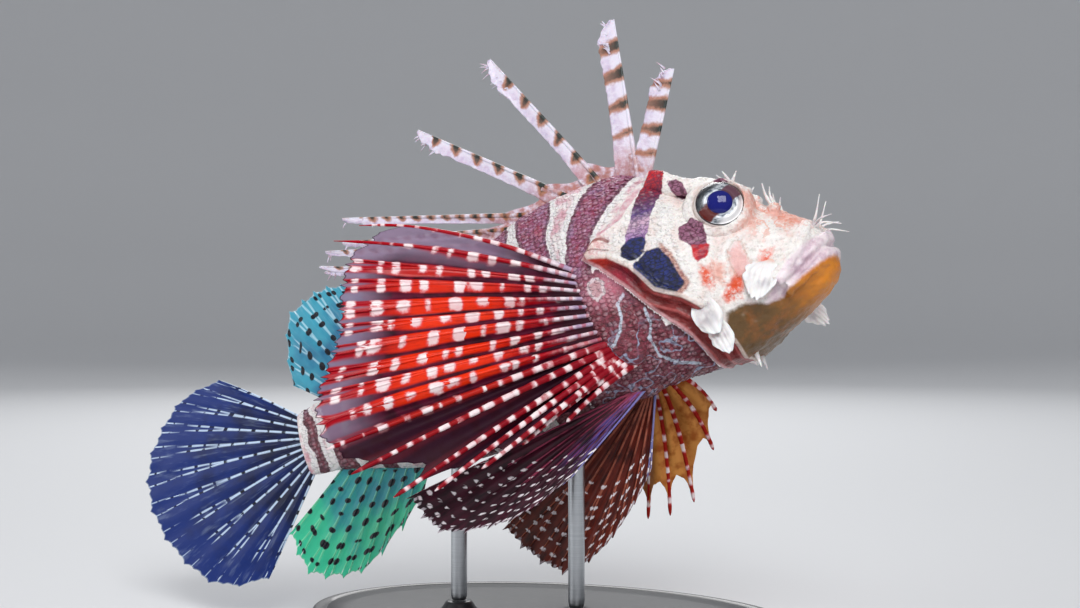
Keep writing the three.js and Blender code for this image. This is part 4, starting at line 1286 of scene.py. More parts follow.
        scarlet = kit.mix(mottle.step(0.5, 0.3), self.scarlet, self.maroon)
        face = kit.mix((red + ragged * 0.5).step(0, 0.45), face, scarlet)
        face = kit.mix((oval + ragged * 0.5).step(0.3, 0.8) * 0.4, face, 0xE9BFC6)
        outline = 1 - (oval.size() + ragged * 0.2).step(0.2, 0.26)
        face = kit.mix(outline * 0.28, face, 0x9C6A58)
        knob = 1 - fish_distance(kit, fish, self.cover_knob) / 5.0
        bare = kit.mix(grain.step(0.5, 0.3), 0xDDA2A6, self.cream)
        face = kit.mix((knob + ragged * 0.1).step(0.2, 0.5) * 0.7, face, bare)
        # Dark red along the gill cover's crease: partly the skin's red, partly painted shade in the crease.
        face = kit.mix((crease + ragged * 0.3).step(0.1, 0.4) * 0.8, face, 0x8A2C20)
        rose = kit.mix(mottle.step(0.5, 0.4), 0xF6E8EC, 0xD0B0C2)
        rose = kit.mix((mottle + grain * 0.3).step(0.75, 0.3) * 0.5, rose, 0xA88CA2)
        face = kit.mix((lips + ragged * 0.4).step(0.2, 0.9) * 0.85, face, rose)
        beard = kit.mix((x * 0.7 + z * 0.35 + mottle * 6).step(38.5, 14), self.throat, self.chin)
        beard = kit.mix(mottle.step(0.56, 0.2) * 0.35, beard, 0xA85A14)
        return kit.mix((chin + ragged * 0.5).step(0.1, 1.1), face, beard)


def fish_distance(kit: Finish, fish: Socket, place: tuple[float, float]) -> Socket:
    """The distance of the side view's points from one place, in millimetres."""
    x, _, z = kit.parts(fish)
    return ((x - place[0]) ** 2.0 + (z - place[1]) ** 2.0) ** 0.5


@dataclass(frozen=True)
class Fan:
    """Fin rays as smooth functions of t, from the first ray to the last, and u, from root to tip.

    Pitch and flare are in degrees, all else in millimetres, and the notch is a share of the length.
    """

    count: int
    root: tuple[Curve, Curve, Curve]
    pitch: Curve
    flare: Curve
    length: Curve
    notch: Curve
    bend_back: Curve = Curve(0)
    bend_out: Curve = Curve(0)
    bend_up: Curve = Curve(0)
    side: int = 1

    def point(self, t: Array, u: Array) -> Array:
        """The places at shares u of the rays at t.

        Args:
            t: Which ray each place is at, from 0 to 1.
            u: Its share of the ray's length.

        Returns:
            The places.
        """
        pitch, flare = np.radians(self.pitch(t)), np.radians(self.flare(t))
        run = self.length(t) * u
        bend = u * u
        x = self.root[0](t) - run * np.cos(pitch) * np.cos(flare) - self.bend_back(t) * bend
        y = self.side * (self.root[1](t) + run * np.sin(flare) + self.bend_out(t) * bend)
        z = self.root[2](t) + run * np.sin(pitch) * np.cos(flare) + self.bend_up(t) * bend
        return np.stack(np.broadcast_arrays(x, y, z), axis=-1)

    def normal(self, t: Array, u: Array) -> Array:
        """The sheet's normals there.

        Args:
            t: Which ray each place is at, from 0 to 1.
            u: Its share of the ray's length.

        Returns:
            A unit vector for each place.
        """
        step = 0.004
        across = self.point(np.minimum(1, t + step), u) - self.point(np.maximum(0, t - step), u)
        along = self.point(t, u + step) - self.point(t, u - step)
        return unit(np.cross(across, along))

    def gap(self, t: Array, u: Array) -> Array:
        """How far apart neighbouring rays lie there.

        Args:
            t: Which ray each place is at, from 0 to 1.
            u: Its share of the ray's length.

        Returns:
            Millimetres between the rays.
        """
        half = 0.5 / (self.count - 1)
        spread = self.point(t + half, u) - self.point(t - half, u)
        reach = np.minimum(1, t + half) - np.maximum(0, t - half)
        return np.linalg.norm(spread, axis=-1) * 2 * half / reach


@dataclass(frozen=True)
class Spots:
    """A row of uneven marks along each ray."""

    period: Curve
    share: Curve = Curve(0.42)
    half: Curve = Curve(0.3)
    start: Curve = Curve(0.0)
    jitter: float = 0.15
    power: float = 2.4

    def depth(self, fan: Fan, t: Array, u: Array, across: Array, seed: int) -> Array:
        """How deep places lie inside a mark.

        Args:
            fan: The fin's rays.
            t: The ray that each place is nearest to, or between, from 0 to 1.
            u: Its share of the ray's length.
            across: How far it is from the ray's own line, in millimetres.
            seed: Picks the fin's own unevenness.

        Returns:
            Millimetres, negative outside every mark.
        """
        ray = np.clip(np.rint(t * (fan.count - 1)).astype(int), 0, fan.count - 1)
        centre = ray / (fan.count - 1)
        rng = np.random.default_rng(SEED + seed)
        shift = rng.uniform(-1, 1, fan.count)[ray]
        uneven = rng.uniform(-1, 1, (3, fan.count, 64))
        period = self.period(centre)
        place = u * fan.length(centre) / period + shift + 4
        cell = np.floor(place).astype(int)
        beat = place - cell - 0.5 - self.jitter * uneven[0, ray, cell]
        long = self.share(u) * period / 2 * (1 + 1.6 * self.jitter * uneven[1, ray, cell])
        wide = self.half(u) * fan.gap(centre, u) * (1 + 1.2 * self.jitter * uneven[2, ray, cell])
        corner = np.abs(beat * period / long) ** self.power + (across / wide) ** self.power
        faint = self.jitter * 2.4 * np.maximum(0, uneven[2, ray, cell] - 0.55)
        inside = (1 - corner ** (1 / self.power)) * np.minimum(long, wide) - faint
        return np.minimum(inside, (u - self.start(centre)) * 20)


@dataclass
class RayFin:
    """A fin: a thin pleated membrane on branching rays, in one piece."""

    node: str
    slot: Slot
    fan: Fan
    spots: Spots
    seed: int
    root_radius: float = 0.55
    tip_radius: float = 0.2
    pleat: float = 0.9
    billow: float = 0.0
    scallop: float = 0.5
    bulge: Curve = Curve(0)
    branch: Curve = Curve(0.6)
    spread: float = 0.2
    free: Curve = Curve(-1)
    start: float = -0.06
    columns: int = 9
    rows: int = 84

    def apart(self, t: Array, u: Array) -> Array:
        """How far each half of a branched ray has left the ray's line, in shares of the gap between rays.

        Args:
            t: Which ray each place is at, from 0 to 1.
            u: Its share of the ray's length.

        Returns:
            A share of the gap for each place.
        """
        fork = self.branch(np.rint(t * (self.fan.count - 1)) / (self.fan.count - 1))
        past = (u - fork + 0.05) / (1.05 - np.minimum(fork, 1))
        return np.where(fork < 1, self.spread * ease(0, 1, past), 0.0)

    def fields(self, t: Array, u: Array, on_ray: float) -> dict[str, Array]:
        """Marks and places for the finish, at each point.

        Args:
            t: Which ray each point is at, from 0 to 1.
            u: Its share of the ray's length.
            on_ray: 1 on a ray and 0 on the membrane.

        Returns:
            The fields by name.
        """
        t, u = np.broadcast_arrays(np.asarray(t, float), np.asarray(u, float))
        fan = self.fan
        beat = t * (fan.count - 1)
        gap = fan.gap(np.clip(t, 0, 1), u)
        across = np.abs(np.abs(beat - np.rint(beat)) - self.apart(t, u)) * gap
        depth = self.spots.depth(fan, t, u, across, self.seed)
        edge = (self.edge(t) - u) * fan.length(t)
        return {
            "marks": np.stack([depth, across, gap], axis=-1),
            "place": np.stack([u, beat, u * fan.length(t)], axis=-1),
            "edges": np.stack([edge, np.full(t.shape, on_ray), t], axis=-1),
        }

    def edge(self, t: Array) -> Array:
        """The share of the ray's length at which the membrane ends, in hollows or lobes between the rays.

        Args:
            t: Which ray each place is at, from 0 to 1.

        Returns:
            A share for each place.
        """
        beat = t * (self.fan.count - 1)
        part = beat - np.floor(beat)
        wave = np.sin(np.pi * part)
        hollow = (4 * part * (1 - part)) ** self.scallop
        cusp = np.exp(-((np.minimum(part, 1 - part) / 0.06) ** 2))
        lobe = (1 - 0.85 * wave**0.7) * (1 - cusp)
        bulge = self.bulge(t)
        ragged = 0.008 * np.sin(beat * 2 * np.pi * 3 + 1.7 * np.sin(beat)) * wave
        return 1 - self.fan.notch(t) * ((1 - bulge) * hollow + bulge * lobe) + ragged

    def swell(self, beat: Array, u: Array) -> Array:
        """How far the whole sheet bulges, in folds that are two or three rays wide."""
        fold = np.sin(beat * 2.3 + 1.0) + 0.6 * np.sin(beat * 1.3 + self.seed)
        return self.billow * fold * ease(0.0, 0.4, u) * ease(1.3, 0.8, u)

    def membrane(self, shape: Shape) -> None:
        """Add the membrane, pleated between the rays.

        Args:
            shape: The forms so far.
        """
        fan = self.fan
        t = np.linspace(0, 1, (fan.count - 1) * self.columns + 1)[None]
        share = np.linspace(0, 1, self.rows + 1)[:, None]
        u = self.start + (self.edge(t) - self.start) * share
        t = t + 0 * share
        beat = t * (fan.count - 1)
        fold = np.cos(2 * np.pi * beat) * 0.5 - 0.5
        fading = ease(-0.02, 0.25, u) * (1 - 0.55 * ease(0.7, 1, share))
        depth = self.pleat * np.minimum(1, fan.gap(t, u) / 3) * fading
        normal = fan.normal(t, u) * fan.side
        ripple = noise(np.stack([beat * 2.2, u * 9, 0 * u], -1), 1.0, self.seed)
        rise = fold * depth + 0.25 * ripple * ease(0.2, 1, u) + self.swell(beat, u)
        middle = fan.point(t, u) + normal * rise[..., None]
        shape.sheet(middle, 0.07, **self.fields(t, u, 0.0))

    def rays(self, shape: Shape) -> None:
        """Add the rays, each splitting in two where its branch starts.

        Args:
            shape: The forms so far.
        """
        fan = self.fan
        for ray in range(fan.count):
            t = ray / (fan.count - 1)
            free = float(self.free(t))
            whole = float(self.branch(t)) >= 1
            for end in ((0,) if whole else (-1, 1)):
                tip = t + end * self.spread / (fan.count - 1)
                reach = 1 + free if free > 0 else float(self.edge(np.float64(tip))) + 0.004
                u = np.linspace(self.start, reach, 60)
                where = t + end * self.apart(np.full_like(u, t), u) / (fan.count - 1)
                rise = 0.06 + self.swell(np.full_like(u, float(ray)), u)
                path = fan.point(where, u) + fan.normal(np.full_like(u, t), u) * fan.side * rise[:, None]
                girth = self.root_radius + (self.tip_radius - self.root_radius) * ease(-0.2, 1.0, u)
                girth = girth * (1 + 0.07 * np.sin(u * fan.length(t) * 2 * np.pi / 1.7))
                girth = girth * (1 - 0.8 * ease(min(1.0, reach - 0.03), reach, u)) + 0.02
                girth = girth * ((1.4 if t > 0.5 else 1.0) if whole else 0.72)
                shape.tube(path, girth, 8, across=(0, 1, 0), **self.fields(where, u, 1.0))

    def build(self, pose: Pose, material: Material) -> list[Piece]:
        """Make the fin.

        Args:
            pose: The fish's pose.
            material: The fin's finish.

        Returns:
            The fin, as its one piece.
        """
        shape = Shape()
        self.membrane(shape)
        self.rays(shape)
        return [shape.piece(f"{self.node}_skin", pose, material, self.slot, (self.node,))]


PECTORAL_KEYS = (0, 0.3, 0.6, 0.8, 1)
PECTORAL_ROOT = (Curve((14.4, 16.4, 16.4, 18.4, 22.2), (0, 0.3, 0.55, 0.8, 1)),
                 Curve((13.6, 15.6, 15.6, 14.2, 11.6), PECTORAL_KEYS),
                 Curve((1.2, -8.5, -18, -22, -24.2), PECTORAL_KEYS))
PECTORAL_NOTCH = Curve((0.16, 0.1, 0.05, 0.055, 0.2, 0.24), (0, 0.06, 0.14, 0.62, 0.74, 1))
PECTORAL_RIGHT = Fan(
    17, PECTORAL_ROOT, side=-1, notch=PECTORAL_NOTCH,
    pitch=Curve((40, 17, 1, -9, -24, -20), (0, 0.25, 0.5, 0.65, 0.8, 1)),
    flare=Curve((18, 26, 34, 34, 24), (0, 0.25, 0.6, 0.8, 1)),
    length=Curve((51, 58, 59, 68, 66, 56, 40, 20), (0, 0.1, 0.3, 0.56, 0.66, 0.78, 0.88, 1)),
    bend_up=Curve((-8, -3, -1.5, -3), (0, 0.25, 0.5, 1)), bend_out=Curve((-3, 1, 2)))
LEFT_KEYS = (0, 0.66, 0.78, 1)
PECTORAL_LEFT = Fan(
    17, PECTORAL_ROOT, notch=PECTORAL_NOTCH,
    pitch=Curve((32, 14, -12, -46, -75, -87, -115, -150), (0, 0.25, 0.5, 0.66, 0.78, 0.86, 0.93, 1)),
    flare=Curve((30, 40, 42, 30, 24, 27, 36, 43), (0, 0.3, 0.55, 0.7, 0.78, 0.86, 0.93, 1)),
    length=Curve((47, 57, 58, 44, 33, 32, 23, 18), (0, 0.3, 0.5, 0.66, 0.78, 0.86, 0.93, 1)),
    bend_up=Curve((-3, -4, -5, -5), LEFT_KEYS), bend_out=Curve((0, 1, 0)),
    bend_back=Curve((0, 1, 5, 5), LEFT_KEYS))
PELVIC_ROOT = (Curve((20.6, 15.4)), Curve((3.6, 5.4)), Curve((-29.2, -29.6)))
PELVIC_RIGHT = Fan(8, PELVIC_ROOT, side=-1, notch=Curve(0.05), pitch=Curve((-36, -31, -26, -19, -9)),
                   flare=Curve((18, 18, 20)), length=Curve((29, 43, 50, 57, 58)), bend_out=Curve((1, -3)))
PELVIC_LEFT = Fan(8, PELVIC_ROOT, notch=Curve(0.05), pitch=Curve((-64, -54, -45, -33, -20)),
                  flare=Curve((12, 14, 18)), length=Curve((20, 29, 42, 53, 55), (0, 0.15, 0.35, 0.6, 1)),
                  bend_out=Curve((1, -2)))
CAUDAL = Fan(12, (Curve((-70.5, -72, -70.5)), Curve(0), Curve((-6, -19.8))), flare=Curve(0),
             pitch=Curve((43, 3, -48)), length=Curve((31, 43.5, 52, 46, 33), (0, 0.2, 0.5, 0.8, 1)),
             notch=Curve(0.03), bend_up=Curve((-2.5, 0, 2)), bend_out=Curve((2, 3.5, 2)))
ANAL = Fan(9, (Curve((-40, -63)), Curve(0), Curve((-28.6, -25.4, -21.8))), flare=Curve(0),
           pitch=Curve((-62, -56, -46, -33), (0, 0.3, 0.7, 1)),
           length=Curve((9, 18, 28.5, 31, 22), (0, 0.15, 0.4, 0.7, 1)),
           notch=Curve((0.25, 0.16, 0.05, 0.05), (0, 0.2, 0.4, 1)), bend_out=Curve((-0.5, -2.5)))
SOFT_DORSAL = Fan(9, (Curve((-40.5, -63)), Curve(0), Curve((5.4, 1.4, -3.4))), flare=Curve(0),
                  pitch=Curve((72, 65, 54, 42), (0, 0.5, 0.8, 1)), notch=Curve(0.06),
                  length=Curve((20, 26, 27, 19, 12), (0, 0.35, 0.6, 0.85, 1)), bend_up=Curve(-1),
                  bend_out=Curve((0.5, 1.5)))


class FinFinish(Protocol):
    """What every fin's finish offers."""

    def material(self) -> Material:
        """The finished material."""


@dataclass(frozen=True)
class PectoralFinish:
    """Red bands on the rays, with blurred white marks, folds between them darkened by painted shade and a
    thin grey margin.
    """

    name: str = "near pectoral fin"
    low_fold: Colour = 0x2E0E20
    low_ray: Colour = 0x7A0A1C
    crimson: Colour = 0xAA0018
    blaze: Colour = 0xF03408
    maroon: Colour = 0x5E0618
    # Membrane colour between the rays, darkened as painted shade in the folds and in the gaps at the root.
    wine: Colour = 0x2C0616
    white: Colour = 0xFFFAF8
    mist: Colour = 0x9A84A0

    def material(self) -> Material:
        """Work out the look.

        Returns:
            The finished material.
        """
        kit = Finish(self.name)
        fish = kit.vector("fish")
        mark, across, gap = kit.fields("marks")
        share, beat, along = kit.fields("place")
        edge, on_ray, t = kit.fields("edges")
        streak = kit.clouds(kit.join(beat * 6.0, along * 0.15, 0), 1.0, 3, 0.6)
        haze = kit.clouds(fish, 3.0, 3)
        soft = kit.clouds(fish, 1.4, 3)
        girth = kit.clouds(kit.join(beat * 0.8, along * 0.03, 3), 1.0, 1)
        low = t.step(0.61, 0.08)
        top = 1 - t.step(0.085, 0.05)
        split = share.step(0.78, 0.36) * (1 - low)
        hot = (1 - ((share - 0.55) / 0.36).size()).step(0.35, 0.7)
        hot = hot * (1 - ((t - 0.42) / 0.36).size()).step(0.3, 0.6)
        red = kit.mix(hot, self.crimson, self.blaze)
        red = kit.mix(streak.step(0.62, 0.25) * 0.4, red, self.maroon)
        red = kit.mix((1 - streak.step(0.34, 0.2)) * 0.2, red, 0xF24A38)
        red = kit.mix(low * 0.7, red, self.low_ray)
        reach = (girth - 0.5) * 0.5 + 0.34 - split * 0.18 - top * 0.22 - low * 0.08
        reach = reach - (1 - share.step(0.35, 0.5)) * 0.12
        band = (1 - (across / gap + (streak - 0.5) * 0.08).step(reach, 0.14)) * (1 - low * 0.85)
        # Between the bands the pleats' valleys are painted dark wine: partly the membrane's colour, partly
        # painted shade.
        fold = kit.mix(haze.step(0.5, 0.4), self.wine, 0x5A0E2C)
        fold = kit.mix(low, fold, kit.mix(haze.step(0.55, 0.3), self.low_fold, self.wine))
        film = ((share.step(0.86, 0.2) + top * share.step(0.3, 0.4)) * (1 - low)).least(1.0)
        fold = kit.mix(film * 0.9, fold, self.mist)
        colour = kit.mix(band.most(on_ray), fold, red)
        inside = kit.mix(low, 1 - (across / gap).step(reach + 0.05, 0.12), on_ray)
        blur = mark + (soft - 0.5) * 1.1 + (streak - 0.5) * 0.7
        colour = kit.mix(blur.step(-0.02, 0.6) * 0.5 * inside, colour, 0xE0606C)
        white = kit.mix(haze.step(0.4, 0.5) * 0.6, self.white, 0xF0C4CC)
        colour = kit.mix(blur.step(0.26, 0.6) * inside, colour, white)
        pale = (1 - (along + (haze - 0.5) * 14).step(9, 8)) * (1 - t.step(0.55, 0.2))
        ticks = (along * 2.1 + beat * 2.7 + haze * 3).math("SINE").step(0.55, 0.5)
        stalk = kit.mix(ticks * 0.6, kit.mix(haze.step(0.5, 0.3), 0xF0E0E6, 0xAC96B4), 0xB02038)
        # Near the root the membrane between the pale rays is painted dark wine as the shadow in the gaps
        # between them.
        colour = kit.mix(pale, colour, kit.mix(on_ray.most(1 - across.step(0.4, 0.3)), self.wine, stalk))
        lining = (1 - edge.step(0.25, 0.25)) * (1 - low) * (1 - on_ray)
        colour = kit.mix(lining * 0.85, colour, 0x2E1424)
        clear = 1 - film * (1 - band) * (1 - on_ray) * (1 - lining) * 0.35
        relief = streak * 0.6 + (along * 3.6).math("SINE") * on_ray * 0.2 + soft * 0.3
        return kit.surface(colour, 0.6 - band * 0.25, relief, 0.1, Coat_Weight=band * 0.2, Coat_Roughness=0.2,
                           Specular_IOR_Level=0.12, Alpha=clear)


@dataclass(frozen=True)
class PelvicFinish:
    """Wine-dark membrane with thin pale rays and white dots towards the margin."""

    name: str = "near pelvic fin"
    dark: Colour = 0x180610
    wine: Colour = 0x4C0E28
    ray: Colour = 0xA03858
    # Strength of the painted blue sheen near the root; the far fin gets none.
    sheen: float = 0.7

    def material(self) -> Material:
        """Work out the look.

        Returns:
            The finished material.
        """
        kit = Finish(self.name)
        fish = kit.vector("fish")
        mark = kit.fields("marks")[0]
        _, beat, along = kit.fields("place")
        edge, on_ray, t = kit.fields("edges")
        streak = kit.clouds(kit.join(beat * 4.0, along * 0.15, 0), 1.0, 3, 0.6)
        haze = kit.clouds(fish, 4.0, 3)
        colour = kit.mix(streak.step(0.5, 0.4) * 0.6 + haze.step(0.5, 0.4) * 0.4, self.dark, self.wine)
        colour = kit.mix(on_ray * streak.step(0.45, 0.3), colour, self.ray)
        # Painted highlight: blue on the front rays near the root, and below it a painted blue sheen over the
        # front of the fin.
        colour = kit.mix((1 - t.step(0.06, 0.06)) * on_ray * 0.8, colour, 0x7C88C4)
        sheen = (1 - t.step(0.4, 0.3)) * (1 - along.step(22, 16)) * streak.step(0.52, 0.16)
        colour = kit.mix(sheen * self.sheen, colour, 0x6A5CB4)
        colour = kit.mix((mark + (haze - 0.5) * 0.3).step(0.05, 0.25), colour, 0xFAF2F6)
        beads = (t * 170.0).math("SINE").step(0.2, 0.7) * (1 - edge.step(0.9, 0.5))
        colour = kit.mix(beads * 0.8, colour, 0xD9CDD6)
        relief = streak + (along * 4.0).math("SINE") * on_ray * 0.3
        return kit.surface(colour, 0.46, relief, 0.1, Coat_Weight=0.06, Coat_Roughness=0.25,
                           Specular_IOR_Level=0.3)


@dataclass(frozen=True)
class TailFinish:
    """Clear membrane of one hue, with banded rays."""

    name: str
    membrane: Colour
    deep: Colour
    ray: Colour
    spot: Colour = 0x060A1A
    spotted: bool = False
    clear: float = 0.85

    def material(self) -> Material:
        """Work out the look.

        Returns:
            The finished material.
        """
        kit = Finish(self.name)
        fish = kit.vector("fish")
        mark, across, _ = kit.fields("marks")
        share, beat, along = kit.fields("place")
        edge, on_ray, _ = kit.fields("edges")
        haze = kit.clouds(fish, 7.0, 3)
        streak = kit.clouds(kit.join(beat * 4.0, along * 0.1, 0), 1.0, 3, 0.6)
        film = kit.mix((haze - 0.5 + share * 0.6).step(0.25, 0.6), self.deep, self.membrane)
        film = kit.mix(streak.step(0.66, 0.25) * 0.16, film, self.ray)
        if self.spotted:
            near = on_ray.most(1 - across.step(0.3, 0.2))
            colour = kit.mix(near * 0.45, film, self.ray)
            colour = kit.mix((mark + (haze - 0.5) * 0.3).step(0.05, 0.25), colour, self.spot)
        else:
            near = 1 - across.step(0.3, 0.2)
            dash = kit.mix((mark + 0.2).step(0.0, 0.3), self.spot, self.ray)
            colour = kit.mix(on_ray.most(near * 0.8), film, dash)
        colour = kit.mix((1 - edge.step(1.3, 1.2)) * on_ray * 0.9, colour, 0xEEF6FA)
        colour = kit.mix((1 - edge.step(0.3, 0.3)) * (1 - on_ray) * 0.4, colour, self.ray)
        clear = on_ray.most(near) * (1 - self.clear) + self.clear
        relief = streak + (along * 4.0).math("SINE") * on_ray * 0.3
        return kit.surface(colour, 0.38, relief, 0.1, Coat_Weight=0.08, Coat_Roughness=0.15,
                           Specular_IOR_Level=0.25, Alpha=clear)


RED_SPOTS = Spots(Curve((5.2, 5.8, 5.4, 3.6, 2.9)), Curve((0.42, 0.44, 0.52, 0.5, 0.46)),
                  Curve((0.6, 0.48, 0.38, 0.26, 0.2)), Curve((0.02, 0.06, 0.06, 0.02, 0.02)), 0.3, 3.0)
WHITE_DOTS = Spots(Curve(3.2), Curve(0.34), Curve(0.16), Curve((0.6, 0.45, 0.55)), 0.12)
DASHES = Spots(Curve((4.0, 4.8, 4.2)), Curve(0.7), Curve(0.5), Curve(-0.2), 0.08, 8)
DARK_DOTS = Spots(Curve((3.8, 4.6, 4.4)), Curve((0.44, 0.4, 0.36)), Curve((0.3, 0.22, 0.16)), Curve(0.02),
                  0.2, 2)


def fins() -> list[tuple[RayFin, FinFinish]]:
    """Every fin on soft rays, with its finish.

    Returns:
        Each fin and its finish.
    """
    pectoral = dict(slot=Slot.PECTORAL, spots=RED_SPOTS, root_radius=0.66, tip_radius=0.34, pleat=1.5,
                    branch=Curve((1, 1, 0.55, 0.5, 1, 1), (0, 0.09, 0.12, 0.5, 0.57, 1)), billow=0.7,
                    bulge=Curve((1, 1, 0, 0), (0, 0.62, 0.74, 1)), columns=10, rows=96,
                    free=Curve((0.17, 0.12, -1, -1, 0.01, 0.01), (0, 0.065, 0.12, 0.66, 0.7, 1)))
    pelvic = dict(slot=Slot.PELVIC, spots=WHITE_DOTS, root_radius=0.46, branch=Curve(0.4), spread=0.26,
                  pleat=0.8, rows=70, bulge=Curve(0.6))
    tail = dict(slot=Slot.TAIL, pleat=0.35, root_radius=0.36, tip_radius=0.15, start=-0.08)
    spotted = dict(spots=DARK_DOTS, branch=Curve(0.45), **tail)
    return [
        (RayFin("pectoral_fin_right", fan=PECTORAL_RIGHT, seed=21, **pectoral), PectoralFinish()),
        (RayFin("pectoral_fin_left", fan=PECTORAL_LEFT, seed=22, **pectoral),
         PectoralFinish("far pectoral fin", 0xD8924A, 0xA82410, wine=0xA85A24)),
        (RayFin("pelvic_fin_right", fan=PELVIC_RIGHT, seed=23, **pelvic), PelvicFinish()),
        (RayFin("pelvic_fin_left", fan=PELVIC_LEFT, seed=24, **pelvic),
         PelvicFinish("far pelvic fin", 0x2A0A0C, 0x7A2818, 0xB0604A, 0.0)),
        (RayFin("caudal_fin", fan=CAUDAL, seed=25, spots=DASHES, branch=Curve(0.35), **tail),
         TailFinish("caudal fin", 0x0C2A72, 0x040C30, 0xC8DCF4, clear=0.985)),
        (RayFin("anal_fin", fan=ANAL, seed=26, **spotted),
         TailFinish("anal fin", 0x2FD0A0, 0x0E8CA0, 0xA6F0C4, spotted=True, clear=0.84)),
        (RayFin("soft_dorsal_fin", fan=SOFT_DORSAL, seed=27, **spotted),
         TailFinish("soft dorsal fin", 0x3FA4BE, 0x24608F, 0xD4EEF6, spotted=True, clear=0.84)),
    ]


@dataclass
class DorsalSpines:
    """Thirteen spines, each with a banded ragged membrane behind it, and the low web along the back."""

    pose: Pose
    x: tuple = (35.4, 33.2, 24, 14.4, 3.4, -2.5, -8, -13, -18, -22.5, -26.8, -31, -35.2)
    angle: tuple = (58.5, 81.4, 113, 135.8, 159.8, 162, 162, 163, 158, 151, 143, 132, 116)
    length: tuple = (28, 41.8, 44.4, 46.3, 51.3, 48.7, 45.2, 45, 38, 31, 25, 20, 19)
    sway: tuple = (0, 1.5, -2, 2, -1, 4, -3, 4.5, -3.5, 3, -2, 1.5, 0)
    width: tuple = (5, 5.2, 3.6, 3.4, 2.8, 2.6, 2.4, 2.2, 2, 1.8, 1.7, 1.6, 1.6)
    shape_along: Curve = Curve((1.4, 1.1, 0.95, 1, 1.25, 1, 0.3), (0, 0.12, 0.4, 0.74, 0.86, 0.94, 1))
    sink: float = 2.5
    tall: int = 4
    bars: tuple = (((0.3, 0.3), (0.5, 0.9), (0.71, 1.2), (0.88, 0.5)),
                   ((0.33, 0.3), (0.5, 0.9), (0.68, 1.3), (0.85, 1.2)))

    def bar_depth(self, index: int, u: Array) -> Array:
        """How deep shares of a spine lie inside one of its dark bars, in millimetres.

        Args:
            index: The spine's number, from the head.
            u: Shares of its length.

        Returns:
            A depth for each share.
        """
        length = self.length[index]
        if index < len(self.bars):
            return np.max([half - np.abs(u - at) * length for at, half in self.bars[index]], axis=0)
        period = 6.4 if index < self.tall else 3.9
        beat = (u * length / period + 0.37 * index) % 1 - 0.5
        return np.where(u < 0.9, (0.16 - np.abs(beat)) * period, -1.0)

    def line(self, index: int, u: Array) -> Array:
        """The spine's own line at shares of its length.

        Args:
            index: The spine's number, from the head.
            u: Shares of its length.

        Returns:
            A point for each share.
        """
        a = math.radians(self.angle[index])
        along = np.array([math.cos(a), 0, math.sin(a)])
        x = self.x[index]
        root = np.array([x, 0, float(BODY_FORM.back(x))]) - self.sink * along
        path = root + along * ((self.length[index] + self.sink) * u)[:, None]
        path[:, 1] += self.sway[index] * np.sin(u * np.pi / 2) * u
        return path

    def blade(self, shape: Shape, index: int) -> None:
        """Add one spine with its membrane and the streamers at its tip.

        Args:
            shape: The forms so far.
            index: The spine's number, from the head.
        """
        a = math.radians(self.angle[index])
        trailing = np.array([-math.sin(a), 0, math.cos(a)])
        rng = np.random.default_rng(SEED + index)
        u = np.linspace(0, 1, 90)
        path = self.line(index, u)
        marks = np.column_stack([self.bar_depth(index, u), 0 * u, u])
        shape.tube(path, 0.72 + (0.14 - 0.72) * u, 10, marks=marks)
        v = np.linspace(0, 1, 15)
        tear = 0.5 + 0.5 * noise(np.column_stack([u * 60, 0 * u, 0 * u + index]), 1.3, 31)
        slim = 1.0 if index < self.tall else 0.72
        torn = tear * (0.12 + 0.45 * ease(0.7, 0.95, u))
        reach = slim * self.width[index] * self.shape_along(u) * (1 - torn)
        curl = 0.5 * np.sin(v[None] * 2.4 + u[:, None] * 7 + index) * v[None]
        middle = path[:, None] + trailing * (reach[:, None] * v[None])[..., None]
        middle[..., 1] += curl
        depth = self.bar_depth(index, u[:, None] + 0.02 * v[None] + 0 * v[None])
        fade = depth - (0.5 if index < len(self.bars) else 2.6) * v[None] ** 2
        fields = np.stack([fade, v[None] + 0 * depth, u[:, None] + 0 * depth], axis=-1)
        shape.sheet(middle, 0.1, marks=fields)
        for _ in range(9 if index < self.tall else 3):
            at = rng.uniform(0.8, 0.99)
            start = self.line(index, np.array([at]))[0] + trailing * self.width[index] * 0.45
            lean = math.radians(self.angle[index] + rng.uniform(15, 70))
            out = rng.uniform(-0.3, 0.3)
            way = np.array([math.cos(lean), out, math.sin(lean)])
            size = rng.uniform(1.6, 3.6) * (1 if index < self.tall else 0.5)
            step = np.linspace(0, 1, 8)[:, None]
            streamer = start + way * size * step + np.array([0, out, -0.5]) * step**2
            tips = np.column_stack([0 * step[:, 0] - 1, 0 * step[:, 0] + 1, 0 * step[:, 0] + at])
            shape.tube(streamer, 0.3 * (1 - 0.8 * step[:, 0]), 6, flat=0.4, marks=tips)

    def web(self, shape: Shape) -> None:
        """Add the low membrane that joins the feet of the spines.

        Args:
            shape: The forms so far.
        """
        place = np.linspace(0, len(self.x) - 1, 200)
        number = np.arange(len(self.x))
        x = np.interp(place, number, self.x)
        a = np.radians(np.interp(place, number, self.angle))
        tall = np.where(x < -22, 0.8, 1.0)
        height = (3.0 + 3.4 * np.abs(np.cos(place * np.pi)) ** 3) * tall
        level = np.linspace(0, 1, 16)[:, None]
        rise = -self.sink + (height + self.sink) * level
        sway = 0.35 * np.sin(place * 6) * level
        points = np.stack([x + np.cos(a) * rise, sway, BODY_FORM.back(x) + np.sin(a) * rise], -1)
        marks = np.stack(np.broadcast_arrays(-1.0, 0.5, 0.16 * level + 0 * rise), -1)
        shape.sheet(points, 0.14, marks=marks)

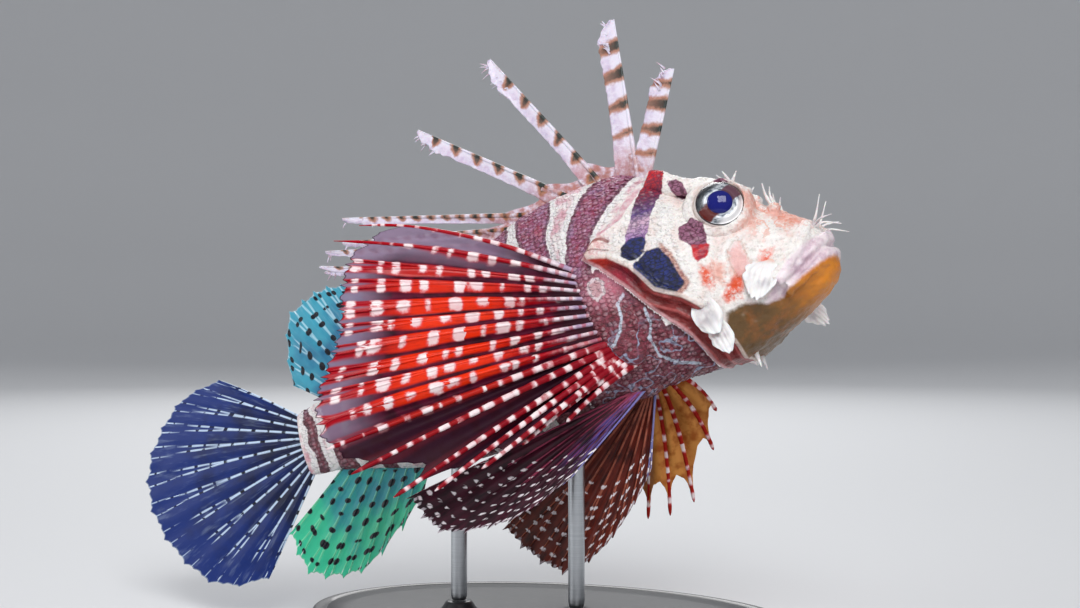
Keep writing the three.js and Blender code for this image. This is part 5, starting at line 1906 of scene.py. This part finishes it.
    def build(self) -> list[Piece]:
        """Make the spines.

        Returns:
            All the spines, as one piece.
        """
        shape = Shape()
        for index in range(len(self.x)):
            self.blade(shape, index)
        self.web(shape)
        nodes = [f"dorsal_spines_{group}" for group in ("front", "middle", "rear")]
        return [shape.piece("dorsal_spines", self.pose, SpineFinish().material(), Slot.SPINE, nodes)]


@dataclass(frozen=True)
class SpineFinish:
    """Lavender-white membrane with brown-edged, green-black bars and a red-brown foot."""

    pale: Colour = 0xE4DEEC
    lilac: Colour = 0xB7A3C6
    brown: Colour = 0xA4622F
    dark: Colour = 0x1F2A26

    def material(self) -> Material:
        """Work out the look.

        Returns:
            The finished material.
        """
        kit = Finish("dorsal spines")
        fish = kit.vector("fish")
        depth, back, along = kit.fields("marks")
        haze = kit.clouds(fish, 1.8, 3, 0.6)
        fine = kit.clouds(fish, 0.6, 2)
        colour = kit.mix((haze.step(0.5, 0.5) * 0.7 * back.step(0.4, 0.6)), self.pale, self.lilac)
        foot = (1 - along.step(0.22, 0.22)) * haze.step(0.42, 0.4)
        colour = kit.mix(foot * 0.8, colour, 0xB06A62)
        bar = depth + (haze - 0.5) * 1.8
        colour = kit.mix((bar + 0.7).step(0, 1.0) * 0.85, colour, self.brown)
        colour = kit.mix(bar.step(0.15, 0.8) * (1 - back * 0.6), colour, self.dark)
        return kit.surface(colour, 0.38, fine + haze, 0.12, Coat_Weight=0.15, Coat_Roughness=0.2,
                           Subsurface_Weight=0.1, Subsurface_Scale=0.001)


@dataclass(frozen=True)
class Flap:
    """A thin lobed flap of skin that hangs from the head."""

    side: int
    root: tuple[float, float, float]
    length: float
    width: float
    lean: float
    out: float
    lobes: float = 3.0
    seed: int = 0
    scallop: float = 0.14

    def add(self, shape: Shape) -> None:
        """Add the flap to the head's trimmings.

        Args:
            shape: The forms so far.
        """
        lean, out = math.radians(self.lean), math.radians(self.out)
        down = np.array([math.cos(lean), self.side * math.tan(out), math.sin(lean)]) * math.cos(out)
        across = np.array([-math.sin(lean), 0, math.cos(lean)])
        normal = unit(np.cross(down, across))
        u = np.linspace(0, 1, 46)[:, None]
        v = np.linspace(-1, 1, 27)[None]
        wide = Curve((0.34, 0.62, 0.94, 1, 0.9, 0.68), (0, 0.2, 0.5, 0.74, 0.9, 1))(u)
        notched = np.abs(np.sin(u * self.lobes * np.pi + self.seed)) * (v < 0)
        ragged = noise(np.stack(np.broadcast_arrays(u * 9, v * 3, self.seed), -1), 1.0, 41)
        lobed = 1 + self.scallop * (notched - 0.5) * ease(0.15, 0.4, u) + 0.05 * ragged
        waves = np.cos(v * self.lobes * 5 + self.seed)
        tip = 1 - 0.26 * np.abs(v) ** 2.2 - 0.2 * self.scallop * waves + 0.05 * ragged
        ruffle = 0.4 * np.sin(u * 5 + v * 2.4 + self.seed) * (0.3 + 0.7 * np.abs(v)) * ease(0, 0.4, u)
        ribs = 0.1 * np.cos(v * np.pi * self.lobes * 2.4) * ease(0.1, 0.5, u)
        middle = np.array(self.root) + down * (self.length * u * tip)[..., None]
        middle = middle + across * (self.width / 2 * wide * lobed * v)[..., None]
        middle = middle + normal * (0.8 * np.sin(u * np.pi) + ruffle + ribs)[..., None]
        rim = np.minimum(1 - np.abs(v), 1.2 * (1 - u)) + 0 * u
        half = 0.09 + 0.24 * ease(0, 0.5, rim)
        place = np.stack(np.broadcast_arrays(u + 0 * v, v + 0 * u, rim), -1)
        shape.sheet(middle, half, np.broadcast_to(normal, middle.shape), place=place)


@dataclass
class HeadTrim:
    """The flaps, tentacles and cirri of the head."""

    pose: Pose
    flaps: tuple[Flap, ...] = (
        Flap(-1, (58.5, -10.6, -11.8), 10.8, 8.2, -121, 22, 2.6, 1, 0.16),
        Flap(1, (58.8, 11.8, -18.2), 10, 5.6, -62, 30, 2.6, 2, 0.16),
        Flap(-1, (40.8, -13.8, -15.4), 10.5, 7, -75, 14, 1.4, 3, 0.05),
        Flap(1, (40.8, 13.8, -15.4), 10.5, 7, -75, 14, 1.4, 4, 0.05),
        Flap(-1, (42.6, -12.6, -21), 9.6, 5.6, -79, 16, 2.0, 5, 0.1),
        Flap(1, (42.6, 12.6, -21), 9.6, 5.6, -79, 16, 2.0, 6, 0.1))
    threads: tuple = (
        (((62.4, 4.6, 0.8), (61.8, 5.4, 3.6), (62, 6, 6.5)), 0.6),
        (((62.8, 4.6, 0.8), (62.8, 5.6, 3.2), (63.4, 6.4, 5)), 0.5),
        (((68.4, 2.4, -7), (70.6, 3.2, -5), (73.4, 4.2, -0.4)), 0.45),
        (((68.6, 2.6, -7.2), (71.4, 3.8, -5.8), (74.6, 5, -6)), 0.45),
        (((68.6, 2.8, -7.4), (72, 4.6, -7), (76, 5.4, -9)), 0.4),
        (((47.6, 3, -29.6), (47.7, 3.1, -31.4), (47.9, 3.3, -33.6)), 0.75),
        (((55.2, 8.2, 8.2), (55.2, 8.8, 9.9), (54.6, 9.3, 11.8)), 0.6),
        (((55.4, 8.2, 8.2), (56.6, 8.8, 9.4), (57.8, 9.3, 10.6)), 0.6),
        (((54.6, 8.2, 8.4), (53.9, 8.8, 10), (53, 9.3, 11.4)), 0.55))

    def build(self) -> list[Piece]:
        """Make the flaps as one piece and the threads as another.

        Returns:
            The flaps and the threads.
        """
        flaps, threads = Shape(), Shape()
        for flap in self.flaps:
            flap.add(flaps)
        for side in Side:
            for points, radius in self.threads:
                path = spline(points * side.mirror(), 14)
                share = np.linspace(0, 1, 15)
                girth = radius * (1 - 0.8 * share) * (1 + 0.12 * np.sin(share * 22))
                threads.tube(path, girth, 8, place=np.column_stack([share, 0 * share, 0 * share + 1]))
        return [shape.piece(f"head_{kind}", self.pose, FlapFinish(f"head {kind}").material(), Slot.SKIN)
                for kind, shape in (("flaps", flaps), ("threads", threads))]


@dataclass(frozen=True)
class FlapFinish:
    """Thin white skin, greyed towards the root by painted shade, with faint veins and a pale rim."""

    name: str

    def material(self) -> Material:
        """Work out the look.

        Returns:
            The finished material.
        """
        kit = Finish(self.name)
        fish = kit.vector("fish")
        u, v, rim = kit.fields("place")
        haze = kit.clouds(fish, 3.4, 3, 0.5)
        # Grey away from the rim: painted shade.
        grey = haze.step(0.55, 0.4) * rim.step(0.3, 0.4)
        colour = kit.mix(grey * 0.8, 0xF1EEED, 0xA69EA4)
        colour = kit.mix((1 - u.step(0.1, 0.2)) * 0.6, colour, 0xE8904C)
        colour = kit.mix((1 - rim.step(0.1, 0.12)) * 0.7, colour, 0xFAF7F8)
        fibre = kit.clouds(kit.join(v * 9, u * 1.4, 0), 1.0, 3, 0.6)
        colour = kit.mix(fibre.step(0.62, 0.2) * 0.2, colour, 0xA3949E)
        return kit.surface(colour, 0.42, fibre + haze * 0.4, 0.1, Subsurface_Weight=0.15,
                           Subsurface_Scale=0.001, Coat_Weight=0.15, Coat_Roughness=0.2)


@dataclass
class Eye:
    """A domed eye: a silver-grey iris round a dark lens, behind a clear cornea."""

    pose: Pose
    side: Side
    radius: float = 6.3
    iris: float = 5.5
    pupil: float = 2.95
    gaze: tuple[float, float, float] = (0.15, 0, -0.12)

    def axes(self) -> tuple[Array, Array, Array, Array]:
        """The eye's middle, the way that it looks, and forward and upward across it.

        Returns:
            A place and three unit vectors.
        """
        mirror = self.side.mirror()
        axis = unit((EYE_AXIS + self.gaze) * mirror)
        forward = unit(np.array([1, 0, 0]) - axis[0] * axis)
        up = np.cross(axis, forward)
        return EYE_AT * mirror, axis, forward, up if up[2] > 0 else -up

    def lathe(self, profile: Sequence[tuple[float, float]]) -> Shape:
        """A form turned about the eye's axis, with flat places on the iris as a field.

        Args:
            profile: Radii and heights along the axis.

        Returns:
            The form.
        """
        centre, axis, forward, up = self.axes()
        angle = np.linspace(0, 2 * np.pi, 72, endpoint=False)[None, :, None]
        radius, height = (np.array(column)[:, None, None] for column in zip(*profile))
        flat_x, flat_y = radius * np.cos(angle), radius * np.sin(angle)
        rings = centre + forward * flat_x + up * flat_y + axis * (height + 0 * angle)
        place = np.concatenate([flat_x, flat_y, height + 0 * flat_x], axis=-1).reshape(-1, 3)
        return Shape().rings(rings, place=place)

    def build(self) -> list[Piece]:
        """Make the eyeball and its cornea.

        Returns:
            The eyeball and the cornea.
        """
        inner = self.radius - 0.12
        turn = np.linspace(np.pi - 0.02, math.asin(self.iris / inner), 30)
        profile = [(inner * math.sin(a), inner * math.cos(a)) for a in turn]
        rim = profile[-1][1]
        profile += [(self.iris - 0.2, rim - 0.1), (self.iris - 0.7, rim + 0.25), (4.4, rim + 0.55),
                    (3.6, rim + 0.7), (self.pupil + 0.15, rim + 0.65), (self.pupil, rim + 0.5)]
        lens = np.linspace(0.5 * np.pi, 0.02, 12)
        profile += [(self.pupil * math.sin(a), rim + 0.5 + 1.5 * math.cos(a)) for a in lens[1:]]
        name = f"eye_{self.side.name.lower()}"
        ball = self.lathe(profile).piece(f"{name}_ball", self.pose, EyeFinish().material(), Slot.EYE, (name,))
        dome = [(self.radius * math.sin(a), self.radius * math.cos(a)) for a in np.linspace(1.2, 0.01, 28)]
        return [ball, self.lathe(dome).piece(f"{name}_cornea", self.pose, cornea(), Slot.EYE)]


@dataclass(frozen=True)
class EyeFinish:
    """Silver-grey iris with a thin dark rim, a brown-red band, a blue-black lens, a painted shade crescent
    and a painted reflection.
    """

    silver: Colour = 0xD6DBE0
    slate: Colour = 0x3C4652
    blue: Colour = 0x0A1270
    umber: Colour = 0x5A1410

    def material(self) -> Material:
        """Work out the look.

        Returns:
            The finished material.
        """
        kit = Finish("eye")
        place = kit.vector("place")
        x, y, height = kit.parts(place)
        radius = (x * x + y * y) ** 0.5
        haze = kit.clouds(place, 1.8, 4, 0.6)
        arc = kit.clouds(kit.join(x / radius * 2, y / radius * 2, radius * 1.2), 1.0, 3, 0.6)
        colour = kit.mix(arc.step(0.5, 0.3), self.silver, self.slate)
        # Painted shade: a dark crescent over the upper rear of the iris; then a painted reflection: a white
        # patch over its lower front.
        colour = kit.mix((y * 0.6 - x * 0.8).step(2.4, 2.0) * radius.step(3.8, 1.2) * 0.85, colour, 0x10141C)
        colour = kit.mix((x * 0.6 - y * 0.8).step(3.0, 1.6) * radius.step(3.9, 0.6) * 0.85, colour, 0xF4F1F2)
        across = (x * 0.53 - y * 0.848).size() + (haze - 0.5) * 1.2
        along = x * 0.848 + y * 0.53
        band = (1 - across.step(1.9, 0.5)) * along.size().step(2.0, 0.6)
        colour = kit.mix(band, colour, kit.mix(along.step(0, 1), self.umber, 0x5E3A48))
        colour = kit.mix(radius.step(5.32, 0.12), colour, 0x0B0C12)
        colour = kit.mix(radius.step(5.6, 0.12), colour, 0xE4DAD6)
        pupil = (1 - radius.step(2.94, 0.08)) * height.step(0, 0.5)
        colour = kit.mix(pupil, colour, self.blue)
        metal = (1 - pupil) * (1 - band) * (1 - radius.step(5.2, 0.2)) * 0.3
        return kit.surface(colour, 0.36 + pupil * 0.4, haze * (1 - pupil), 0.05, Metallic=metal,
                           Specular_IOR_Level=0.12)


def cornea() -> Material:
    """Clear wet glass that only mirrors.

    Returns:
        The finished material.
    """
    kit = Finish("cornea")
    haze = kit.clouds(kit.vector("fish"), 5.0)
    clear = kit.node("ShaderNodeBsdfTransparent")
    gloss = kit.node("ShaderNodeBsdfGlossy", inputs={"Roughness": 0.03})
    edge_on = kit.node("ShaderNodeLayerWeight", inputs={"Blend": 0.5}, output="Facing")
    mirror = edge_on ** 4.0 * 0.6 + haze * 0.02 + 0.03
    return kit.close(kit.node("ShaderNodeMixShader", inputs={0: mirror, 1: clear, 2: gloss}))


@dataclass
class DisplayStand:
    """An oval lacquered base with a collar for each of two brushed steel rods."""

    pose: Pose
    length: float = 122.0
    width: float = 80.0
    height: float = 6.0
    edge: float = 1.0
    rod_radius: float = 2.0
    collar_radius: float = 4.5
    collar_height: float = 2.5
    groove_at: float = 3.2
    groove_depth: float = 0.25
    flat_middle: float = 39.0
    feet: tuple[tuple[str, float], ...] = (("front", 0.0), ("rear", -32.0))

    def turned(self, shape: Shape, at: Sequence[float], profile: Sequence[tuple[float, float]],
               sides: int = 64, narrower: float = 0.0) -> None:
        """Add rings of (radius, level) pairs about an upright axis, closed at both ends.

        Args:
            shape: The forms so far.
            at: Where the axis stands.
            profile: The pairs, from end to end.
            sides: The number of points in a ring.
            narrower: How much less each ring reaches along Y.
        """
        angle = np.linspace(0, 2 * np.pi, sides, endpoint=False)
        shape.rings(np.array([[(at[0] + r * math.cos(a), at[1] + (r - narrower) * math.sin(a), level)
                               for a in angle] for r, level in profile]))

    def build(self) -> list[Piece]:
        """Make the base and the rods.

        Returns:
            The rods and the base.
        """
        base, pieces = Shape(), []
        half, top, edge = self.length / 2, self.height, self.edge
        bend = np.linspace(0, np.pi / 2, 6)
        lower = [(half - edge * math.sin(b), edge * (1 - math.cos(b))) for b in bend[::-1]]
        upper = [(half - edge * (1 - math.cos(b)), top - edge * (1 - math.sin(b))) for b in bend]
        rim, bed = half - self.groove_at, top - self.groove_depth
        groove = [(rim, top), (rim - 0.2, bed), (rim - 0.6, bed), (rim - 0.8, top)]
        inner = [(half - inset, top) for inset in (10, 20, self.flat_middle)]
        profile = [(half - self.flat_middle, 0), *lower, *upper, *groove, *inner]
        self.turned(base, (0, 0), profile, 160, (self.length - self.width) / 2)
        low, high = self.collar_radius, self.collar_radius - 1
        for name, x in self.feet:
            foot = self.pose.world(np.array([[x, 0, float(BODY_FORM.belly(x))]]))[0] * 1000
            rise = top + self.collar_height
            self.turned(base, foot, [(low, top - 0.4), (low, top + 0.6), (low - 0.4, top + 1.1),
                                     (high, rise - 0.5), (high - 0.4, rise), (self.rod_radius, rise)])
            rod = Shape()
            first, *levels = np.linspace(rise + 0.3, foot[2] + 3, 40)
            profile = [(self.rod_radius - 0.3, first), *((self.rod_radius, level) for level in levels)]
            self.turned(rod, foot, profile, 48)
            steel = SteelFinish().material()
            pieces.append(rod.piece(f"rod_{name}", Upright(), steel, Slot.STEEL, (f"stand_rod_{name}",)))
        lacquer = LacquerFinish().material()
        return [*pieces, base.piece("base", Upright(), lacquer, Slot.BLACK, ("stand_base",))]


@dataclass(frozen=True)
class LacquerFinish:
    """Satin black lacquer with a faint orange-peel skin and a little dust."""

    def material(self) -> Material:
        """Work out the look.

        Returns:
            The finished material.
        """
        kit = Finish("black lacquer")
        at = kit.vector("fish")
        peel = kit.clouds(at, 0.8, 2)
        dust = kit.clouds(at, 14.0, 5, 0.7)
        colour = kit.mix(dust.step(0.62, 0.4) * 0.5, 0x17181B, 0x2B2C30)
        return kit.surface(colour, 0.3 + dust * 0.15, peel, 0.03, Coat_Weight=0.3, Coat_Roughness=0.1)


@dataclass(frozen=True)
class SteelFinish:
    """Steel brushed round the rod."""

    def material(self) -> Material:
        """Work out the look.

        Returns:
            The finished material.
        """
        kit = Finish("brushed steel")
        x, y, z = kit.parts(kit.vector("fish"))
        brush = kit.clouds(kit.join(x * 0.05, y * 0.05, z * 6), 1.0, 3, 0.7)
        colour = kit.mix(brush, 0x9FA3A8, 0xD0D3D6)
        return kit.surface(colour, 0.26 + brush * 0.16, brush, 0.02, Metallic=1.0)


@dataclass
class Studio:
    """The picture's floor, lights and camera."""

    target: tuple[float, float, float] = (-0.002, 0.0, 0.082)
    distance: float = 0.37
    azimuth: float = 18.0
    lens: float = 50.0
    sensor: float = 36.0
    lights: tuple = (("key", (0.35, -0.75, 0.75), 0.55, 8.0), ("fill", (-0.8, -0.5, 0.35), 0.7, 2.4),
                     ("rim", (-0.3, 0.8, 0.7), 0.6, 5.0))
    air: tuple = (0.8, 0.82, 0.86, 1)
    air_strength: float = 0.42
    floor_profile: tuple = ((0.01, 0), (0.6, 0), (1.2, 0), (1.6, 0.03), (1.9, 0.15), (2.1, 0.4), (2.2, 0.8),
                            (2.2, 1.6))

    def build(self) -> None:
        """Lay the floor, hang the lights and set the camera."""
        self.floor()
        for light in self.lights:
            self.light(*light)
        world = bpy.data.worlds.new("studio air")
        world.use_nodes = True
        background = world.node_tree.nodes["Background"]
        background.inputs["Color"].default_value = self.air
        background.inputs["Strength"].default_value = self.air_strength
        bpy.context.scene.world = world
        self.camera()

    def floor(self) -> None:
        """A wide round floor that curves up into a low wall."""
        sides = 96
        angle = np.linspace(0, 2 * np.pi, sides, endpoint=False)
        points = [(r * math.cos(a), r * math.sin(a), level) for r, level in self.floor_profile for a in angle]
        faces = grid(len(self.floor_profile), sides, closed=True).tolist()
        mesh = bpy.data.meshes.new("floor")
        mesh.from_pydata(points, [], [*faces, list(range(sides))[::-1]])
        mesh.polygons.foreach_set("use_smooth", np.ones(len(mesh.polygons), bool))
        floor = bpy.data.objects.new("floor", mesh)
        bpy.context.scene.collection.objects.link(floor)
        kit = Finish("studio floor")
        floor.data.materials.append(kit.surface(0xDADBDD, 0.7))

    def light(self, name: str, at: Sequence[float], size: float, power: float) -> None:
        """Hang a square soft light that faces the fish.

        Args:
            name: The light's name.
            at: Where it hangs, in metres.
            size: Its side, in metres.
            power: Its power, in watts.
        """
        lamp = bpy.data.lights.new(name, "AREA")
        lamp.size = size
        lamp.energy = power
        holder = bpy.data.objects.new(name, lamp)
        holder.location = at
        holder.rotation_euler = (Vector(self.target) - Vector(at)).to_track_quat("-Z", "Y").to_euler()
        bpy.context.scene.collection.objects.link(holder)

    def camera(self) -> None:
        """Stand the camera where the photograph was taken from, level with the fish."""
        turn = math.radians(self.azimuth)
        offset = Vector((math.sin(turn), -math.cos(turn), 0)) * self.distance
        camera = bpy.data.objects.new("camera", bpy.data.cameras.new("camera"))
        camera.data.lens = self.lens
        camera.data.sensor_width = self.sensor
        camera.data.clip_start = 0.01
        camera.location = Vector(self.target) + offset
        camera.rotation_euler = (-offset).to_track_quat("-Z", "Y").to_euler()
        bpy.context.scene.collection.objects.link(camera)
        bpy.context.scene.camera = camera


def report(pieces: Sequence[Piece]) -> None:
    """Log each piece's name and its number of points."""
    for piece in pieces:
        LOG.info("%s: %d points", piece.name, len(piece.data.vertices))


def main() -> None:
    """Build the fish, its stand and the studio, and report each piece."""
    logging.basicConfig(level=logging.INFO, format="%(name)s %(message)s")
    pose = Pose()
    report(Skin(pose).build())
    for fin, finish in fins():
        report(fin.build(pose, finish.material()))
    eyes = [Eye(pose, side) for side in Side]
    for sub_assembly in (DorsalSpines(pose), HeadTrim(pose), *eyes, DisplayStand(pose)):
        report(sub_assembly.build())
    Studio().build()
    bpy.context.scene.view_settings.view_transform = "Standard"


if __name__ == "__main__":
    main()
